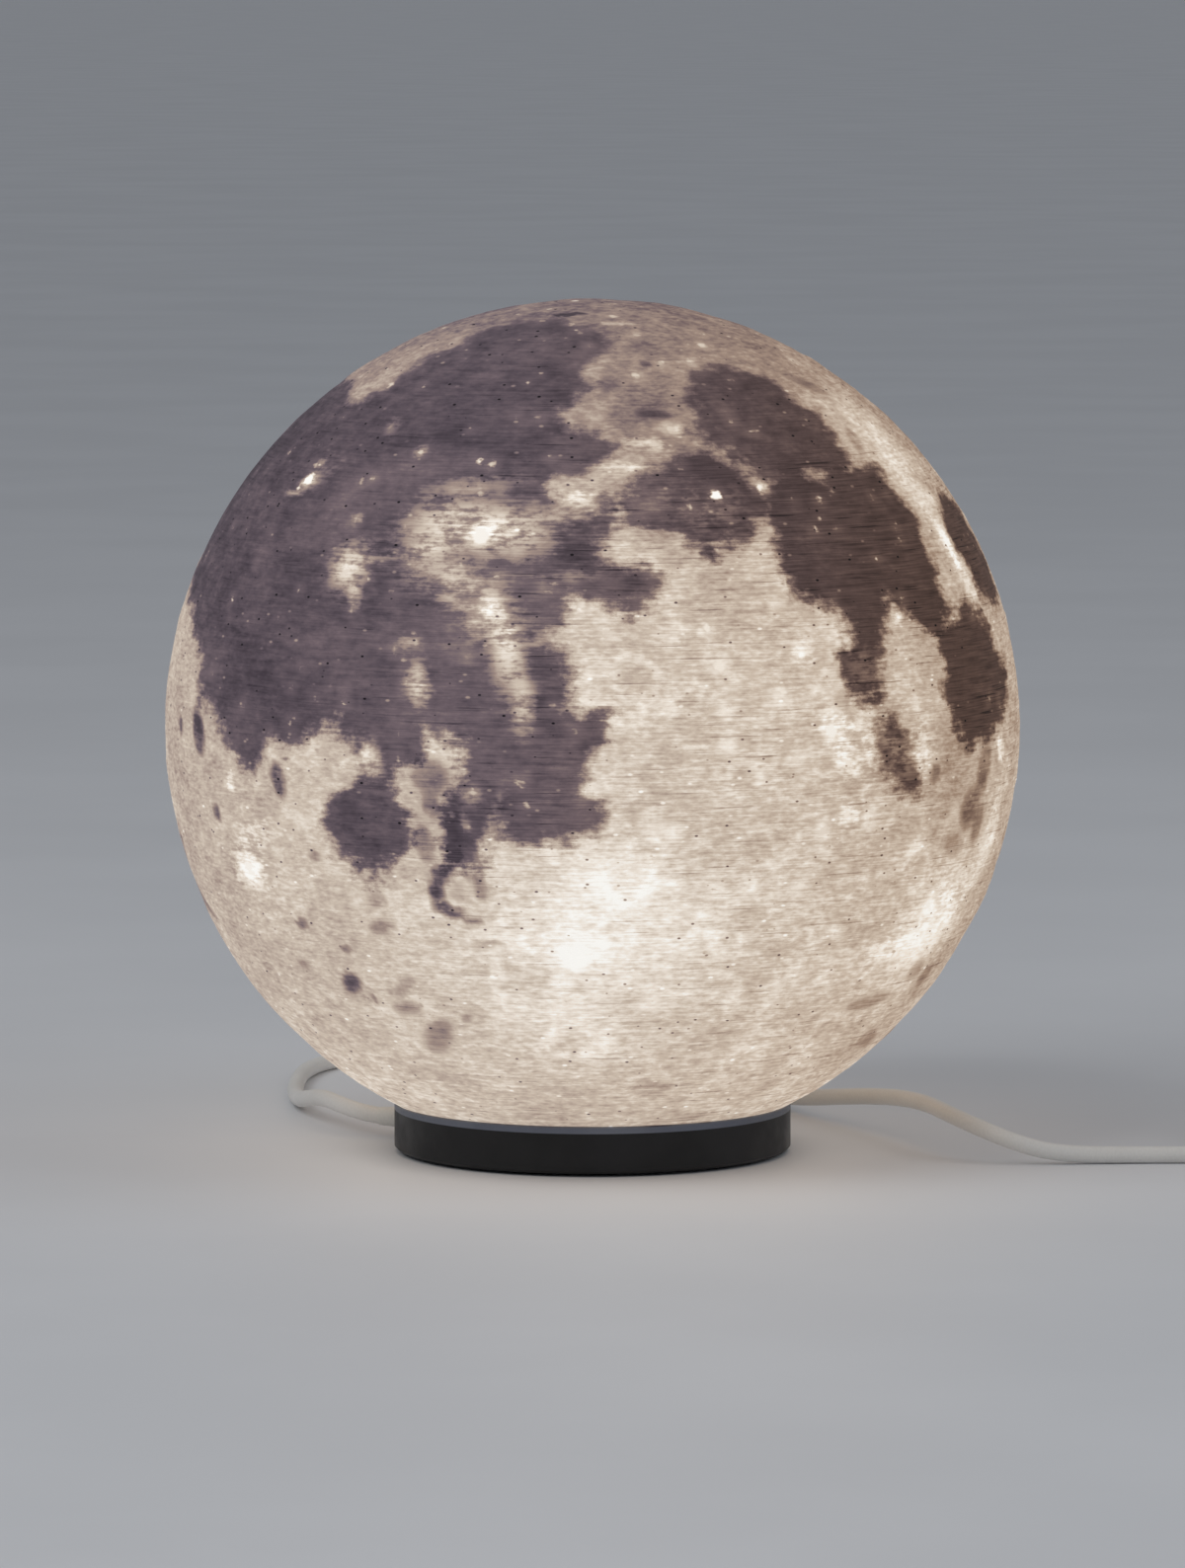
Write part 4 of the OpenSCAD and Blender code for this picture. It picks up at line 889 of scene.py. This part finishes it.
# ---------------- base
# A low puck injection-moulded in black plastic with a fine spark grain; its top edge carries the
# touch ring, and a flat cover closes it from below with three screws and four rubber feet.
dress(grained("black plastic", chip(15, 15, 17), chip(22, 22, 25), patch=18, grain=0.35,
              bump=0.03, rough=(0.38, 0.55)), "base_housing")
dress(grained("cover plastic", chip(22, 22, 25), chip(30, 30, 33), patch=12, grain=0.3,
              bump=0.03, rough=(0.48, 0.62)), "bottom_cover")
dress(grained("rubber", chip(30, 30, 31), chip(42, 42, 43), patch=5, grain=0.25,
              bump=0.04, rough=(0.72, 0.88), specular=0.25), "rubber_feet")


# ---------------- touch ring
# A flat ring turned from aluminium, blasted and anodised grey. It lies on the deck's step under
# the globe's edge, and a spring finger under it feels the hand's touch.
ring_finish, shader, place = new_finish("touch metal", 0.5, metallic=0.85)
turning = clouds(place, 0.6, 3.0, stretch=(1, 1, 0.3))
handled = clouds(place, 14, 4.0, shift=4.0)
feed(shader, {
    "Base Color": two_tones(handled, chip(112, 116, 128), chip(126, 130, 141), 0.35, 0.65),
    "Roughness": between(maths("ADD", handled, turning), 0.7, 1.3, 0.32, 0.48),
    "Normal": raised(turning, 0.02)})
dress(ring_finish, "touch_ring")


# ---------------- screws and contact
# Self-tapping screws in bright zinc-plated steel, and the touch contact stamped from nickel-plated
# spring strip.
dress(brushed("zinc steel", chip(186, 187, 190), chip(164, 165, 170), rough=(0.28, 0.45)),
      "cover_screws", "board_screws", "turret_screws", "led_board_screws")
dress(brushed("spring strip", chip(200, 190, 160), chip(182, 172, 144), rough=(0.25, 0.4)),
      "touch_contact")


# ---------------- boards
# The control board is green glass laminate with tracks under its lacquer; it carries the touch
# chip, a ferrite inductor and three ceramic capacitors, soldered on.
laminate, shader, place = new_finish("green laminate", 0.5)
east, north, _ = along_axes(place)
fields = node("ShaderNodeTexVoronoi", {"Vector": place, "Scale": 0.17}, distance="CHEBYCHEV")
field = node("ShaderNodeSeparateColor", {0: fields.outputs["Color"]})
crosswise = maths("GREATER_THAN", field.outputs[0], 0.5)
across = node("ShaderNodeMix", {0: crosswise, 2: east, 3: north}).outputs[0]
track = between(maths("PINGPONG", across, 0.55), 0.16, 0.10)
track = maths("MULTIPLY", track, maths("GREATER_THAN", field.outputs[1], 0.35))
lacquer = clouds(place, 7, 4.0)
ground = two_tones(lacquer, chip(16, 66, 40), chip(24, 80, 48))
feed(shader, {
    "Base Color": mixed(track, ground, chip(44, 116, 66)),
    "Roughness": between(lacquer, 0.3, 0.7, 0.3, 0.42), "Normal": raised(track, 0.03)})
dress(laminate, "main_board")
dress(grained("chip body", chip(24, 24, 26), chip(34, 34, 36), patch=2, grain=0.1,
              bump=0.01, rough=(0.5, 0.65)), "touch_chip")
dress(grained("ferrite", chip(50, 50, 52), chip(66, 65, 66), patch=2, grain=0.15,
              bump=0.02, rough=(0.6, 0.8), specular=0.35), "board_inductor")
dress(grained("ceramic", chip(150, 124, 92), chip(168, 142, 108), patch=1.5, grain=0.1,
              bump=0.01, rough=(0.4, 0.55), specular=0.45), "board_capacitors")


# ---------------- heat sink and diodes
# The diodes sit on a round aluminium-core board with white lacquer, screwed to a finned aluminium
# disc in the turret's mouth. Two insulated wires bring the current up from the control board.
dress(brushed("cast aluminium", chip(176, 178, 181), chip(156, 158, 162), rough=(0.35, 0.5)),
      "heat_sink")
dress(grained("white lacquer", chip(228, 229, 226), chip(236, 237, 235), patch=6, grain=0.2,
              bump=0.01, rough=(0.3, 0.42), specular=0.5), "led_board")
diode, shader, place = new_finish("diode", 0.5, roughness=0.35)
diode_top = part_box("leds")[1].z * 1000
WINDOW_DEPTH = 0.3
height = along_axes(place)[2]
normal = shader.id_data.nodes.new("ShaderNodeNewGeometry").outputs["Normal"]
window = between(height, diode_top - WINDOW_DEPTH / 3, diode_top - WINDOW_DEPTH / 2)
window = maths("MULTIPLY", window, between(along_axes(normal)[2], 0.7, 0.9))
cells = clouds(place, 0.6, 2.0)
phosphor = two_tones(cells, chip(236, 202, 92), chip(244, 218, 122))
feed(shader, {
    "Base Color": mixed(window, chip(232, 230, 222), phosphor),
    "Emission Color": mixed(window, chip(96, 84, 62), chip(255, 232, 186)),
    "Emission Strength": 1.6})
dress(diode, "leds")


def insulated(name, east, north, parting):
    """Two wires side by side, red and black, on either side of a line across east and north."""
    finish, shader, place = new_finish(name.replace("_", " "), 0.45)
    x, y, _ = along_axes(place)
    side = maths("MULTIPLY_ADD", x, east, maths("MULTIPLY", y, north))
    which = between(side, parting - 0.04, parting + 0.04)
    worn = clouds(place, 3, 3.0)
    reds = mixed(worn, chip(164, 26, 24), chip(186, 38, 32))
    blacks = mixed(worn, chip(18, 18, 20), chip(32, 32, 34))
    feed(shader, {
        "Base Color": mixed(which, reds, blacks), "Roughness": between(worn, 0.3, 0.7, 0.38, 0.5)})
    dress(finish, name)


insulated("supply_wires", east=1.0, north=0.0, parting=0.0)
insulated("lead_cores", east=0.44, north=0.90, parting=-1.29)


# ---------------- diffuser cap
# An opal dome, moulded in milky plastic with an open foot, is pushed over the turret's mouth. It
# spreads the diodes' light, so that the globe glows evenly.
opal, shader, place = new_finish("opal cap", 0.5)
milk = clouds(place, 6, 4.0)
# The cap's glow is painted light: emission for the diodes' light shining through it, full on the dome
# and dimmer towards the foot.
GLOW_FROM = 2
GLOW_TO = 10
cap_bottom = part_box("diffuser_cap")[0].z * 1000
dome = between(along_axes(place)[2], cap_bottom + GLOW_FROM, cap_bottom + GLOW_TO)
feed(shader, {
    "Base Color": two_tones(milk, chip(232, 229, 220), chip(242, 240, 233)),
    "Roughness": between(milk, 0.3, 0.7, 0.4, 0.5),
    "Emission Color": mixed(dome, chip(120, 104, 84), chip(255, 240, 214)),
    "Emission Strength": 0.9, "Subsurface Weight": 0.2,
    "Subsurface Radius": (4 * MM, 4 * MM, 4 * MM)})
dress(opal, "diffuser_cap")


# ---------------- floor and light
# A plain pale matt table top that runs far back, one large soft lamp high on the left, a weaker one
# on the right, and an even dim surround.
FLOOR_REACH = 60.0
floor = new_piece("floor", [(x * FLOOR_REACH, y * FLOOR_REACH, 0) for x, y in (
    (-1, -1), (1, -1), (1, 1), (-1, 1))], [(0, 1, 2, 3)])
table, shader, place = new_finish("pale table top", 0.3, roughness=0.55)
dust = clouds(place, 120, 5.0)
feed(shader, {"Base Color": two_tones(dust, chip(222, 223, 226), chip(227, 228, 231))})
floor.data.materials.append(table)


LAMP_SIZE = 1.0
LAMP_AIM = Vector((0, 0, 0.06))


def soft_lamp(name, place, power, colour):
    """A square soft lamp that points at the globe's lower half."""
    data = bpy.data.lights.new(name, "AREA")
    data.shape = "SQUARE"
    data.size = LAMP_SIZE
    data.energy = power
    data.color = colour
    made = bpy.data.objects.new(name, data)
    made.location = place
    made.rotation_euler = (LAMP_AIM - Vector(place)).to_track_quat("-Z", "Y").to_euler()
    bpy.context.scene.collection.objects.link(made)


soft_lamp("key lamp", (-0.9, -0.9, 1.3), power=9, colour=(1, 0.99, 0.97))
soft_lamp("fill lamp", (1.2, -0.4, 0.9), power=3, colour=(0.96, 0.98, 1))
surround = bpy.data.worlds.new("surround")
surround.use_nodes = True
feed(surround.node_tree.nodes["Background"], {"Color": chip(190, 194, 200), "Strength": 0.5})
bpy.context.scene.world = surround
